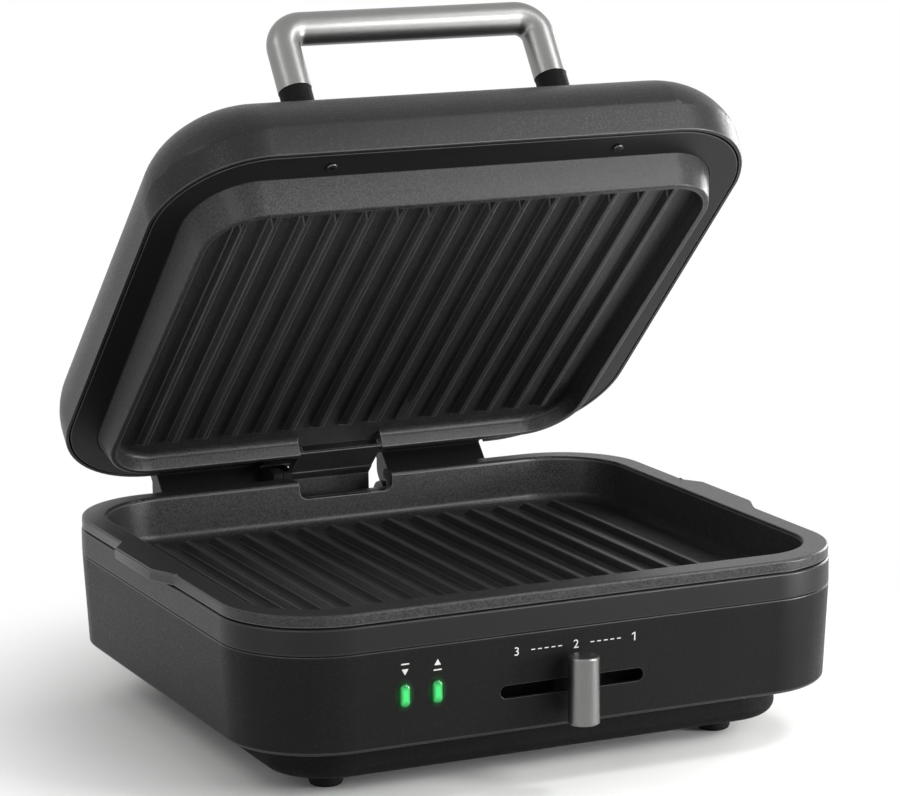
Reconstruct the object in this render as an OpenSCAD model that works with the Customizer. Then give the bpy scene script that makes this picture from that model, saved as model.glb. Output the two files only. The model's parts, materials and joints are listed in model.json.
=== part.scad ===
// Electric indoor grill with a hinged lid.
//
// A deep lower pan sits in a plastic housing on four feet. A domed lid carries
// the ribbed upper plate and turns on two pins behind the housing. The drawing
// is made with the lid shut, in a frame centred on the housing, and the lid's
// pieces are then turned to the opening angle. The origin of the finished
// model is on the ground, under the middle of everything that is drawn.

/* [Housing] */
// Width of the housing, left to right
body_w = 354; // [330:1:390]
// Depth of the housing, front to back
body_d = 317; // [300:1:350]
// Corner radius of the housing, seen from above
body_r = 54; // [48:1:62]
// Height of the housing wall, from its lower edge to the trim band
body_h = 53.5; // [48:0.25:64]
// How far the wall leans in at its lower edge
body_draft = 2.9; // [1:0.1:5]
// Thickness of the housing wall
wall = 3; // [2.4:0.1:3.6]
// Height of the trim band above the housing wall
band_h = 15; // [13:0.5:18]
// Height of the shadow gap between the trim band and the pan
shadow_gap = 0.8; // [0.4:0.1:1.4]
// How far the shadow gap runs in from the face of the housing
shadow_in = 3; // [2:0.1:4]

/* [Underbody and feet] */
// Height of a foot
foot_h = 11; // [9:0.5:14]
// Diameter of a foot
foot_d = 20; // [16:1:24]
// Distance between the feet, left to right
foot_span_x = 233; // [200:1:240]
// Distance between the feet, front to back
foot_span_y = 196; // [170:1:204]
// Height of the underbody below the housing
under_h = 21; // [18:1:26]
// How far the underbody stands in from the housing
under_in = 26.7; // [22:0.1:30]
// Corner radius of the underbody
under_r = 35; // [28:1:42]
// Radius along the lower edge of the underbody
under_fillet = 6.5; // [4:0.1:8]
// Length of a cooling slot in the underbody
vent_len = 46; // [36:1:52]
// Number of cooling slots in a row
vent_count = 9; // [5:2:11]

/* [Lower pan] */
// Thickness of the pan's flange
flange_t = 6.25; // [4.5:0.25:8]
// Width of the flange at the left and right
flange_side = 13.75; // [11:0.25:17]
// Width of the flange at the front
flange_front = 17.5; // [13:0.25:21]
// Width of the flange at the back
flange_rear = 13.75; // [11:0.25:18]
// Depth of the pan, from the top of its flange to the floor
pan_depth = 27; // [24:0.5:29]
// Thickness of the pan's wall and floor
pan_t = 3; // [2.4:0.1:3.6]
// Corner radius of the pan's mouth at the front
pan_r_front = 37; // [32:1:42]
// Corner radius of the pan's mouth at the back
pan_r_rear = 44; // [38:1:48]
// Radius between the pan's wall and floor
pan_fillet = 6; // [4:0.5:8]
// How far the pan's wall leans in at the floor
pan_draft = 2; // [1:0.1:3]
// How far a side grip stands out past the flange
grip_out = 7.4; // [4:0.2:10]
// Length of a side grip along its edge
grip_len = 56; // [44:1:70]
// Width of the drain notch in the pan's back wall
notch_w = 60; // [54:1:64]
// Depth of the drain notch below the flange's top
notch_depth = 10.6; // [8:0.1:13]

/* [Ribs] */
// Number of cooking ribs on each plate
rib_count = 15; // [11:2:15]
// Distance from one rib to the next
rib_pitch = 18.3; // [16:0.1:19]
// Height of a rib
rib_h = 4.5; // [3:0.1:5.5]
// Width of a rib at its foot
rib_foot = 7; // [5:0.1:9]
// Width of a rib at its crest
rib_crest = 2.8; // [2:0.1:4]

/* [Lid] */
// How far the lid is open, from shut
open_angle = 43; // [0:1:95]
// Gap between the pan and the shut lid
lid_gap = 2; // [1.4:0.1:3]
// How far the lid stands out past the housing at each side
lid_over_side = 0.5; // [0:0.1:4]
// How far the lid stands out past the housing at the front
lid_over_front = 5.8; // [2:0.1:9]
// How far the lid's lower edge tucks in at the front
lid_tuck = 5.3; // [2:0.1:7]
// Height of the tucked edge
tuck_h = 14; // [10:0.5:18]
// Height of the lid
lid_h = 51; // [47:0.5:58]
// Radius of the lid's upper edge
lid_fillet = 41; // [32:1:44]
// Corner radius of the lid at the front
lid_r_front = 59; // [50:1:64]
// Corner radius of the lid at the back
lid_r_rear = 67; // [56:1:72]
// Thickness of the lid's shell
lid_wall = 2; // [1.6:0.1:2.6]
// Width of the black gap between shell and inner frame
lid_seam = 0.9; // [0.5:0.1:1.5]
// Thickness of the lid's inner frame
frame_t = 2.5; // [2:0.1:3.2]

/* [Upper plate] */
// How far the plate's raised rim stands in from the lid at the sides
rim_side = 20.2; // [18:0.1:24]
// How far the raised rim stands in from the lid at the front
rim_front = 28.6; // [25:0.1:32]
// How far the raised rim stands in from the lid at the back
rim_rear = 19; // [18:0.1:23]
// Height of the raised rim at the middle of the plate
rim_h = 14.7; // [12:0.1:16]
// Corner radius of the raised rim at the front
rim_r_front = 36; // [30:1:42]
// Corner radius of the raised rim at the back
rim_r_rear = 38; // [32:1:44]
// Slope of the raised rim, as run over height
rim_slope = 0.36; // [0.2:0.02:0.44]
// Tilt of the plate, which runs it down to the back
plate_tilt = 1.15; // [0.5:0.05:1.3]
// Width of the raised rim's crest
crest_w = 3; // [2.4:0.1:4]
// Depth of the cooking face below the crest
recess_h = 10; // [8:0.1:11]
// Thickness of the plate behind the cooking face
plate_t = 3.2; // [2.6:0.1:4]
// Width of the drain lip
lip_w = 53; // [44:1:54]

/* [Handle] */
// Diameter of the handle tube
handle_d = 18.8; // [15:0.2:21]
// Distance between the handle's legs
handle_span = 155; // [130:1:180]
// Height of the tube's centre line above the lid
handle_h = 58; // [48:1:66]
// Bend radius of the tube's centre line
handle_bend = 12.5; // [11:0.5:20]
// How far the legs stand in from the lid's front
handle_in = 47.5; // [45:0.5:62]
// Forward lean of the handle
handle_lean = 8; // [0:0.5:12]
// Height of a ferrule under each leg
ferrule_h = 19.5; // [14:0.5:24]

/* [Hinge] */
// How far the pins lie behind the housing
hinge_back = 14; // [13:0.1:17]
// How far the pins lie below the top of the pan
hinge_drop = 21.6; // [20:0.1:24]
// Radius of a hinge pin
pin_r = 4; // [3:0.1:5]
// Radius of a knuckle around its pin
knuckle_r = 10.5; // [9.5:0.1:11]
// Distance from the middle to the inner end of an arm
arm_in = 40; // [36:1:44]
// Width of an arm
arm_w = 66; // [56:1:70]

/* [Controls] */
// Length of the slot for the temperature slide
slot_len = 83.5; // [70:0.5:96]
// Height of the slot
slot_h = 7; // [6:0.1:8]
// Height of the slot's middle above the housing's lower edge
slot_up = 22.4; // [20:0.1:28]
// Diameter of the knob
knob_d = 16.7; // [14:0.1:20]
// Height of the knob
knob_h = 36.5; // [28:0.5:40]
// Distance from the panel to the knob's axis
knob_out = 13; // [11:0.5:16]
// Width of an indicator lens
lens_w = 5.5; // [4:0.1:7]
// Height of an indicator lens
lens_h = 12; // [9:0.1:14]
// Distance between the two lenses
lens_gap = 18.3; // [14:0.1:24]
// Distance from the housing's middle to the point between the lenses
lens_x = 87.2; // [76:0.1:96]

/* [Drip cup] */
// Width of the drip cup
cup_w = 58; // [46:1:59]
// Depth of the drip cup, front to back
cup_d = 28; // [22:1:30]
// Height of the drip cup
cup_h = 20; // [16:0.5:21]

/* [Hidden] */
$fn = 64;
e = 0.01;           // overlap that keeps cuts clean
fit = 0.3;          // clearance between pieces that move past each other
run = 0.05;         // running clearance of a pin in its bore
seat = 0.1;         // clearance of a piece laid in its seat

// Heights of the housing
under_z = foot_h;
body_z = under_z + under_h;
band_z = body_z + body_h;
flange_z = band_z + band_h;
pan_z = flange_z + flange_t;
floor_z = pan_z - pan_depth;
lid_z = pan_z + lid_gap;
lid_top = lid_z + lid_h;
slot_z = body_z + slot_up;
lens_z = slot_z + 5.8;

// Half the housing's width and depth, on a fine grid so that curves and flats meet
half_w = round(body_w * 32) / 64;
half_d = round(body_d * 32) / 64;

// Places of the housing
front_y = -half_d;
rear_y = half_d;
hinge_y = rear_y + hinge_back;
hinge_z = pan_z - hinge_drop;

// An outline is [left, right, front, back, front radius, back radius]
body_o = [-half_w, half_w, front_y, rear_y, body_r, body_r];
under_o = [for (i = [0:5]) i > 3 ? under_r : inset(body_o, under_in)[i]];
flange_o = inset(body_o, 0.4);
mouth_o = [-half_w + flange_side, half_w - flange_side,
           front_y + flange_front, rear_y - flange_rear, pan_r_front, pan_r_rear];
lid_o = [-half_w - lid_over_side, half_w + lid_over_side,
         front_y - lid_over_front, rear_y, lid_r_front, lid_r_rear];
edge_o = [lid_o[0], lid_o[1], lid_o[2] + lid_tuck, lid_o[3], lid_r_front, lid_r_rear];
frame_o = inset(edge_o, lid_wall + lid_seam);
rim_o = [lid_o[0] + rim_side, lid_o[1] - rim_side,
         lid_o[2] + rim_front, lid_o[3] - rim_rear, rim_r_front, rim_r_rear];

// Ground ring of the housing, which carries the underbody
ring_in = under_in + 18;
ring_t = 3;
boss_r = 4.5;
boss_in = under_in + 9;
boss_x = half_w - boss_in;
boss_y = half_d / 2;
under_t = 2.5;
vent_pitch = 14;
vent_h = 4;
block = [42, 20, 15];
block_in = 24;

// Heating element, its tray and its supports
tube_r = 3.25;
leg_x = 12;
leg_drop = 14;
leg_top = 11;
loop_in = 52;
loop_in_y = 46;
loop_r = 30;
shield_t = 1.25;
shield_in = 22;
shield_r = 6;
shield_z = floor_z - pan_t - 17;
element_z = floor_z - pan_t - tube_r - 0.2;
stat_r = 12;
post_x = half_w * 0.54;
post_y = half_d * 0.48;
rib_end = 13;

// Drain lip of the upper plate
lip_z = lid_z - 11.75;
lip_t = 5.5;
lip_floor = 2.5;
lip_band = 7.3;
band_t = 0.5;
spout_fall = 48;
spout_len = 12.4;

// Hinge pieces
washer_t = 1.6;
ear_t = 4.5;
ear_in = arm_in - washer_t - ear_t - 0.4;
arm_out = arm_in + arm_w;
ear_out = arm_out + washer_t + 0.4;
ear_drop = 26;
pad_x = ear_out + ear_t + 2;
pad_t = 8;
plate_back_t = 2.5;
arm_curve = 32;
arm_root_h = 6;
arm_root_in = 13.5;
window_h = frame_t + arm_root_h + 1;
window_in = 8;
guard_r = 26.4;
guard_d = 22;
stud_r = 1.6;

// Control pieces
stem_w = 10;
stem_h = slot_h - 1.6;
track_w = slot_len + 20;
track_h = 18;
track_t = 2;
track_back = 12;
slide_travel = (slot_len - stem_w) / 2 - 2;

// Drip cup pieces
cup_t = 1.8;
cup_z = hinge_z - 21.5;
shelf_t = 2.2;
rail_t = 1.8;
rail_h = 5;
cup_y0 = rear_y + 1.6;

// Cord gland
gland_x = half_w * 0.58;
gland_z = body_z + 14;
gland_bore = 3.75;
gland_len = 14;
gland_r = 6.4;
gland_rim = 9.4;
gland_rim_t = 2.4;

// Lid fixings
screw_x = 85;
screw_in = 12.7;
screw_len = 8;
lid_boss_r = 4;
foot_screw_r = 1.9;
tube_wall = 1.8;

// Rearmost and foremost reach, which set the origin
lid_back_y = hinge_y + cos(open_angle) * (rear_y - lid_fillet - hinge_y)
    + sin(open_angle) * (lid_top - lid_fillet - hinge_z) + lid_fillet;
arm_back_y = hinge_y + cos(open_angle) * (knuckle_r - arm_curve)
    + sin(open_angle) * 4 + arm_curve;
reach_back = max(lid_back_y, arm_back_y, cup_y0 + cup_d + 4);
reach_front = -face_y(slot_z) + knob_out + knob_d / 2;
origin_y = (reach_back - reach_front) / 2;

// ---- Helpers ----

// An outline moved inwards all round by d
function inset(o, d) =
    [o[0] + d, o[1] - d, o[2] + d, o[3] - d, max(o[4] - d, 0.5), max(o[5] - d, 0.5)];

// How far the housing wall has leaned in at height z
function lean(z) = body_draft * (band_z - z) / body_h;

// Outer faces of the front and back walls at height z, as y values
function face_y(z) = front_y + lean(z);
function rear_wall_y(z) = rear_y - lean(z);

// Flat shape of an outline
module flat(o) {
    xm = (o[0] + o[1]) / 2;
    half = (o[1] - o[0]) / 2;
    translate([o[0], o[2] + o[4]]) square([o[1] - o[0], o[3] - o[2] - o[4] - o[5]]);
    translate([xm - half + o[4], o[2]]) square([2 * (half - o[4]), o[4] + e]);
    translate([xm - half + o[5], o[3] - o[5] - e]) square([2 * (half - o[5]), o[5] + e]);
    for (s = [-1, 1]) {
        translate([xm + s * (half - o[4]), o[2] + o[4]]) circle(o[4]);
        translate([xm + s * (half - o[5]), o[3] - o[5]]) circle(o[5]);
    }
}

// A plate of an outline between two heights
module slab(o, z0, z1) {
    translate([0, 0, z0]) linear_extrude(z1 - z0) flat(o);
}

// Carries a profile round an outline. In the profile, x is the distance
// outwards from the outline and y is the height.
module around(o) {
    rf = o[4];
    rb = o[5];
    side = o[3] - o[2] - rf - rb;
    corners = [[o[1] - rb, o[3] - rb, rb], [o[0] + rb, o[3] - rb, rb],
               [o[0] + rf, o[2] + rf, rf], [o[1] - rf, o[2] + rf, rf]];
    runs = [[o[1], o[3] - rb, side], [o[0] + rb, o[3], o[1] - o[0] - 2 * rb],
            [o[0], o[2] + rf, side], [o[1] - rf, o[2], o[1] - o[0] - 2 * rf]];
    for (i = [0:3]) {
        translate([corners[i][0], corners[i][1], 0]) rotate([0, 0, 90 * i])
            rotate_extrude(angle = 90) translate([corners[i][2], 0]) children();
        translate([runs[i][0], runs[i][1], 0]) rotate([0, 0, 90 * i]) rotate([90, 0, 0])
            linear_extrude(runs[i][2]) children();
    }
}

// A block of an outline whose wall leans in by draft and whose upper edge is round
module pillow(o, z0, z1, r, draft = 0) {
    reach = draft + r + 2;
    slab(inset(o, reach - 1), z0, z1);
    around(o) {
        polygon([[-reach, z0], [0, z0], [-draft, z1 - r], [-reach, z1 - r]]);
        translate([-reach, z1 - r - e]) square([reach - draft - r, r + e]);
        intersection() {
            translate([-draft - r, z1 - r]) circle(r);
            translate([-draft - r, z1 - r - e]) square([r, r + e]);
        }
    }
}

// The same block upside down, with its mouth at z1 and its round edge at z0
module basin(o, z1, z0, r, draft = 0) {
    mirror([0, 0, 1]) pillow(o, -z1, -z0, r, draft);
}

// Moves a drawing from the housing's frame to the model's frame
module placed() {
    translate([0, -origin_y, 0]) children();
}

// Turns the shut lid's pieces about the hinge pins
module opened() {
    placed() translate([0, hinge_y, hinge_z]) rotate([-open_angle, 0, 0])
        translate([0, -hinge_y, -hinge_z]) children();
}

// The upper plate's own frame: the lid's underside, tilted about its middle
module tilted() {
    mid = (rim_o[2] + rim_o[3]) / 2;
    translate([0, mid, lid_z]) rotate([plate_tilt, 0, 0]) translate([0, -mid, 0]) children();
}

// A bar along x between x0 and x1, from a flat shape in y and z
module bar_x(x0, x1) {
    translate([x0, 0, 0]) rotate([90, 0, 90]) linear_extrude(x1 - x0) children();
}

// A rod along x
module rod_x(x0, x1, r) {
    translate([x0, 0, 0]) rotate([0, 90, 0]) cylinder(r = r, h = x1 - x0);
}

// A rod along y
module rod_y(y0, y1, r) {
    translate([0, y1, 0]) rotate([90, 0, 0]) cylinder(r = r, h = y1 - y0);
}

// A flat slot with round ends, w wide and h high
module stadium(w, h) {
    r = min(w, h) / 2;
    square([w > h ? w - h : w, w > h ? h : h - w], center = true);
    for (s = [-1, 1])
        translate(w > h ? [s * (w / 2 - r), 0] : [0, s * (h / 2 - r)]) circle(r, $fn = 48);
}

// A slot through the front wall, centred at x and z
module front_slot(x, z, w, h, y0, y1) {
    translate([x, y1, z]) rotate([90, 0, 0]) linear_extrude(y1 - y0) stadium(w, h);
}

// Cooking ribs that stand up from height z, between y0 and y1
module ribs(z, y0, y1) {
    reach = rib_pitch * (rib_count - 1) / 2;
    intersection() {
        for (i = [0:rib_count - 1])
            translate([i * rib_pitch - reach, y1, z]) rotate([90, 0, 0])
                linear_extrude(y1 - y0)
                    polygon([[-rib_foot / 2, -1], [rib_foot / 2, -1], [rib_foot / 2, 0],
                             [rib_crest / 2, rib_h], [-rib_crest / 2, rib_h],
                             [-rib_foot / 2, 0]]);
        bar_x(-reach - rib_foot, reach + rib_foot)
            polygon([[y0, z - 1], [y1, z - 1], [y1, z], [y1 - 1.4 * rib_h, z + rib_h],
                     [y0 + 1.4 * rib_h, z + rib_h], [y0, z]]);
    }
}

// A loop of heating tube with two legs at the back that turn down or up
module heater(o, z, leg_end) {
    cut = 3 * tube_r;
    difference() {
        around(o) translate([0, z]) circle(tube_r, $fn = 32);
        translate([-leg_x, o[3] - cut, z - cut]) cube([2 * leg_x, 2 * cut, 2 * cut]);
    }
    for (s = [-1, 1])
        translate([s * leg_x, o[3], min(z, leg_end)]) cylinder(r = tube_r, h = abs(leg_end - z));
}

// A screw that points up: head below z0, shank up to z1
module screw(z0, z1, head_r, shank_r) {
    translate([0, 0, z0 - 1.6]) cylinder(r = head_r, h = 1.6, $fn = 32);
    translate([0, 0, z0 - e]) cylinder(r = shank_r, h = z1 - z0 + e, $fn = 32);
}

// ---- Housing ----

// Drafted outer wall with the ground ring turned in at its foot
module base_shell() color("#1c1c1e") placed() {
    edge = 0.5;
    foot = 1.5;
    ring_top = body_z + ring_t;
    difference() {
        union() {
            around(body_o) polygon([
                [-edge, band_z], [-lean(band_z - edge), band_z - edge],
                [-lean(body_z + foot), body_z + foot], [-body_draft - foot, body_z],
                [-ring_in, body_z], [-ring_in, ring_top], [-lean(ring_top) - wall, ring_top],
                [-wall, band_z]]);
            translate([-pad_x, rear_y - pad_t, hinge_z - ear_drop - 4])
                cube([2 * pad_x, pad_t, band_z - hinge_z + ear_drop + 4]);
            for (s = [-1, 1]) translate([-lens_x + s * (lens_gap / 2 + 7), 0, lens_z])
                rod_y(face_y(lens_z) + wall / 2, led_y(), 2.5);
        }
        front_slot(0, slot_z, slot_len, slot_h, front_y - 1, front_y + 20);
        for (s = [-1, 1])
            front_slot(-lens_x + s * lens_gap / 2, lens_z, lens_w + 2 * seat,
                       lens_h + 2 * seat, front_y - 1, front_y + 20);
        translate([gland_x, 0, gland_z]) {
            rod_y(rear_y - 20, rear_y + 1, gland_r + 0.2);
            rod_y(gland_y(), rear_y + 1, gland_rim + 0.2);
        }
        for (sx = [-1, 1], sy = [-1, 1])
            translate([sx * boss_x, sy * boss_y, body_z - 1])
                cylinder(r = stud_r, h = ring_t + 2, $fn = 32);
    }
}

// Band that carries the pan on a step set back from its face
module trim_band() color("#222224") placed() {
    edge = 0.5;
    top_edge = 0.8;
    tongue = 6;
    tongue_t = 3.4;
    difference() {
        around(body_o) polygon([
            [-edge, band_z], [0, band_z + edge], [0, flange_z - shadow_gap - top_edge],
            [-top_edge, flange_z - shadow_gap], [-shadow_in, flange_z - shadow_gap],
            [-shadow_in, flange_z], [-wall - tongue_t, flange_z],
            [-wall - tongue_t, band_z - tongue],
            [-wall - lean(band_z - tongue) - seat, band_z - tongue], [-wall - seat, band_z]]);
        translate([-notch_w / 2 - 2, rear_y - pad_t - 10, pan_z - notch_depth - 0.6])
            cube([notch_w + 4, pad_t + 20, notch_depth + 2]);
        translate([-pad_x - 1, rear_y - pad_t - 1, band_z - tongue - 1])
            cube([2 * (pad_x + 1), pad_t + 1, tongue + 1]);
    }
}

// Lower tray with cooling slots, screw bosses and posts for the heat shield
module underbody() color("#161617") placed() {
    difference() {
        union() {
            difference() {
                basin(under_o, body_z, under_z, under_fillet);
                basin(inset(under_o, under_t), body_z + 1, under_z + under_t,
                      under_fillet - under_t / 2);
            }
            for (sx = [-1, 1], sy = [-1, 1]) {
                translate([sx * boss_x, sy * boss_y, under_z + 1])
                    cylinder(r = boss_r, h = body_z - under_z - 1);
                translate([sx * post_x, sy * post_y, under_z + 1])
                    cylinder(r = boss_r, h = shield_z - under_z - 1);
            }
        }
        for (row = [-1, 0, 1], i = [0:vent_count - 1])
            translate([row * (vent_len + 12), (i - (vent_count - 1) / 2) * vent_pitch,
                       under_z - 1])
                linear_extrude(under_t + 2) stadium(vent_len, vent_h);
        for (sx = [-1, 1], sy = [-1, 1])
            translate([sx * boss_x, sy * boss_y, under_z - 1])
                cylinder(r = stud_r + seat, h = body_z - under_z + 2, $fn = 32);
    }
}

// Four rubber feet with a collar
module feet() color("#0e0e0e") placed() {
    r = foot_d / 2;
    for (sx = [-1, 1], sy = [-1, 1])
        translate([sx * foot_span_x / 2, sy * foot_span_y / 2, 0]) rotate_extrude()
            polygon([[0, 0], [r - 2.4, 0], [r - 1.2, 0.8], [r - 0.8, 2.2],
                     [r - 0.4, foot_h - 3.4], [r, foot_h - 3], [r, foot_h], [0, foot_h]]);
}

// Screws that hold the underbody to the housing's ground ring
module underbody_screws() color("silver") placed() {
    for (sx = [-1, 1], sy = [-1, 1])
        translate([sx * boss_x, sy * boss_y, 0])
            screw(under_z, body_z + ring_t - seat, 3.4, stud_r - seat);
}

// ---- Lower pan and its heating ----

// Outline of one side grip, as a flat shape to the right of the housing
module grip_flat() {
    x = half_w - 2;
    ramp = 17;
    mid = 8;
    polygon([[x, mid - grip_len / 2 - ramp - 5], [x + 1.6, mid - grip_len / 2 - ramp],
             [x + 1.6 + grip_out, mid - grip_len / 2],
             [x + 1.6 + grip_out, mid + grip_len / 2],
             [x + 1.6, mid + grip_len / 2 + ramp - 5], [x, mid + grip_len / 2 + ramp]]);
}

// Deep ribbed pan with a flange, two side grips and a drain notch
module lower_pan() color("#26272b") placed() {
    edge = 1.6;
    notch_r = 5;
    difference() {
        union() {
            pillow(flange_o, flange_z, pan_z, edge);
            basin(inset(mouth_o, -pan_t), flange_z + 1, floor_z - pan_t,
                  pan_fillet + 1, pan_draft);
            for (s = [0, 1]) mirror([s, 0, 0]) {
                translate([0, 0, flange_z]) linear_extrude(flange_t - edge / 2) grip_flat();
                translate([-edge / 2, 0, flange_z]) linear_extrude(flange_t) grip_flat();
            }
        }
        basin(mouth_o, pan_z + 1, floor_z, pan_fillet, pan_draft);
        around(mouth_o) difference() {
            translate([-1, pan_z - edge]) square([edge + 1, edge + 1]);
            translate([edge, pan_z - edge]) circle(edge, $fn = 32);
        }
        translate([0, rear_y + flange_rear, pan_z - notch_depth]) rotate([90, 0, 0])
            linear_extrude(3 * flange_rear) union() {
                translate([-notch_w / 2, notch_r]) square([notch_w, notch_depth + 5]);
                translate([-notch_w / 2 + notch_r, 0]) square([notch_w - 2 * notch_r, 12]);
                for (s = [-1, 1]) translate([s * (notch_w / 2 - notch_r), notch_r])
                    circle(notch_r, $fn = 32);
            }
    }
    ribs(floor_z, mouth_o[2] + pan_draft + rib_end, mouth_o[3] - pan_draft - rib_end);
}

// Tubular element under the pan
module lower_element() color("#55504c") placed()
    heater(loop_o(mouth_o), element_z, shield_z - leg_drop);

// Sheet tray under the element
module lower_shield() color("#9a9a98") placed() {
    o = inset(mouth_o, shield_in);
    difference() {
        basin(o, floor_z - pan_t - 1.5, shield_z, shield_r);
        basin(inset(o, shield_t), floor_z, shield_z + shield_t, shield_r - shield_t);
        for (s = [-1, 1]) translate([s * leg_x, loop_o(mouth_o)[3], shield_z - 1])
            cylinder(r = tube_r + 0.6, h = 4, $fn = 32);
    }
}

// The outline that a heating loop follows inside an outline
function loop_o(o) = [o[0] + loop_in, o[1] - loop_in, o[2] + loop_in_y,
                      o[3] - loop_in_y, loop_r, loop_r];

// Saddles that hold the element up from its tray
module element_saddles() color("#b0b0ae") placed() {
    o = loop_o(mouth_o);
    mid_y = (o[2] + o[3]) / 2;
    w = 4 * tube_r;
    depth = 3 * tube_r;
    for (p = [[o[0], mid_y, 0], [o[1], mid_y, 0], [-post_x / 2, o[2], 90], [post_x / 2, o[2], 90]])
        translate([p[0], p[1], 0]) rotate([0, 0, p[2]]) difference() {
            translate([-w / 2, -depth / 2, shield_z + shield_t])
                cube([w, depth, element_z - shield_z - shield_t]);
            translate([0, 0, element_z]) rod_y(-depth, depth, tube_r + seat);
        }
}

// Round thermostat pressed against the pan from below
module thermostat() color("#8a8a86") placed() {
    z0 = shield_z + shield_t;
    top = floor_z - pan_t - 0.2;
    cap = 3;
    translate([0, 0, z0]) cylinder(r = stat_r, h = top - z0 - cap);
    translate([0, 0, top - cap - e]) cylinder(r = stat_r * 2 / 3, h = cap + e);
}

// Terminal block for the mains and the lid's leads
module terminal_block() color("#d8d4c8") placed() {
    way = block[0] / 4;
    y0 = under_o[3] - block_in - block[1];
    translate([-block[0] - leg_x, y0, under_z + under_t]) difference() {
        cube(block);
        for (i = [0:3]) translate([(i + 0.5) * way, 0, 0]) {
            translate([0, block[1] / 2, block[2] * 0.6]) cylinder(r = 3, h = block[2], $fn = 32);
            translate([0, 0, block[2] / 3]) rod_y(-1, block[1] + 1, 2.2);
        }
    }
}

// Bushing in the back wall for the mains lead
module cord_gland() color("#131313") placed() {
    in_end = gland_rim_t - gland_len;
    translate([gland_x, gland_y(), gland_z]) rotate([-90, 0, 0]) rotate_extrude()
        polygon([[gland_bore, in_end], [gland_r - 0.6, in_end], [gland_r, in_end + 0.6],
                 [gland_r, 0], [gland_rim, 0], [gland_rim, gland_rim_t - 0.8],
                 [gland_rim - 0.8, gland_rim_t], [gland_bore, gland_rim_t]]);
}

// Flat seat of the gland's rim, sunk into the leaning wall
function gland_y() = rear_wall_y(gland_z - gland_rim) - 0.1;

// ---- Controls ----

// Front of the indicator board behind the panel
function led_y() = face_y(lens_z) + wall + 4;

// Board that carries the two indicators
module led_board() color("#1f5a34") placed() {
    translate([-lens_x - lens_gap / 2 - 12, led_y(), lens_z - 11])
        cube([lens_gap + 24, 1.6, 22]);
}

// One indicator lens, right through the panel
module lens(x) color("#22dd55") placed()
    front_slot(x, lens_z, lens_w, lens_h, face_y(lens_z + lens_h / 2) - 0.5, led_y());

module lens_left() lens(-lens_x - lens_gap / 2);
module lens_right() lens(-lens_x + lens_gap / 2);

// Channel behind the panel in which the carriage runs
module slide_track() color("#2c2c2e") placed() {
    back_y = face_y(slot_z) + wall + track_back;
    for (s = [-1, 1]) {
        z = slot_z + s * track_h / 2;
        translate([-track_w / 2, face_y(z - 1) + wall + fit, z - track_t / 2])
            cube([track_w, back_y - face_y(z - 1) - wall - fit, track_t]);
    }
    translate([-track_w / 2, back_y - track_t, slot_z - track_h / 2])
        cube([track_w, track_t, track_h]);
}

// Carriage inside the track, with the stem that comes out through the slot
module slide_carriage() color("#1a1a1a") placed() {
    y0 = face_y(slot_z) + wall + 2;
    y1 = face_y(slot_z) + wall + track_back - track_t - fit;
    h = track_h - track_t - 2 * fit;
    translate([-8, y0, slot_z - h / 2]) cube([16, y1 - y0, h]);
    translate([-stem_w / 2, face_y(slot_z) - knob_out + knob_d / 2 - 2.5, slot_z - stem_h / 2])
        cube([stem_w, y0 - face_y(slot_z) + knob_out - knob_d / 2 + 3, stem_h]);
}

// Upright metal knob with a flat for its stem
module slide_knob() color("#b9b9bb") placed()
    difference() {
        translate([0, face_y(slot_z) - knob_out, slot_z - knob_h / 2]) rotate_extrude()
            polygon([[0, 0], [knob_d / 2 - 0.7, 0], [knob_d / 2, 0.7],
                     [knob_d / 2, knob_h - 0.7], [knob_d / 2 - 0.7, knob_h], [0, knob_h]]);
        translate([-stem_w / 2 - seat, face_y(slot_z) - knob_out + knob_d / 2 - 2.5 - seat,
                   slot_z - stem_h / 2 - seat])
            cube([stem_w + 2 * seat, 10, stem_h + 2 * seat]);
    }

// ---- Hinge ----

// Bracket on the back wall: a plate with an ear at each end of the arm
module hinge_bracket() {
    difference() {
        union() {
            translate([ear_in, rear_y, hinge_z - ear_drop])
                cube([ear_out + ear_t - ear_in, plate_back_t, ear_drop - ear_t]);
            for (x = [ear_in, ear_out]) bar_x(x, x + ear_t) {
                translate([hinge_y, hinge_z]) circle(knuckle_r);
                translate([rear_y, hinge_z]) polygon([
                    [0, -ear_drop], [plate_back_t, -ear_drop],
                    [hinge_back + 0.7 * knuckle_r, -0.6 * knuckle_r], [hinge_back, 0],
                    [hinge_back, 0.95 * knuckle_r], [0, 0.6 * knuckle_r]]);
            }
        }
        translate([0, hinge_y, hinge_z]) rod_x(ear_in - 1, ear_out + ear_t + 1, pin_r);
    }
}

module hinge_bracket_right() color("#202022") placed() hinge_bracket();
module hinge_bracket_left() color("#202022") placed() mirror([1, 0, 0]) hinge_bracket();

// Steel pins, headed at the outer end and clipped at the inner end
module hinge_pins() color("silver") placed()
    for (s = [0, 1]) mirror([s, 0, 0]) translate([0, hinge_y, hinge_z]) {
        rod_x(ear_in - 2.4, ear_out + ear_t + e, pin_r);
        rod_x(ear_out + ear_t, ear_out + ear_t + 2.2, pin_r + 2.4);
        rod_x(ear_in - 1.6, ear_in - 0.6, pin_r + 1.6);
    }

// Friction washers between the ears and the arms
module hinge_washers() color("#d9d9d4") placed()
    for (s = [0, 1], x = [arm_in - washer_t - 0.4, arm_out + 0.4])
        mirror([s, 0, 0]) translate([0, hinge_y, hinge_z]) difference() {
            rod_x(x, x + washer_t, knuckle_r - 1.5);
            rod_x(x - 1, x + washer_t + 1, pin_r + run);
        }

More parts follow.
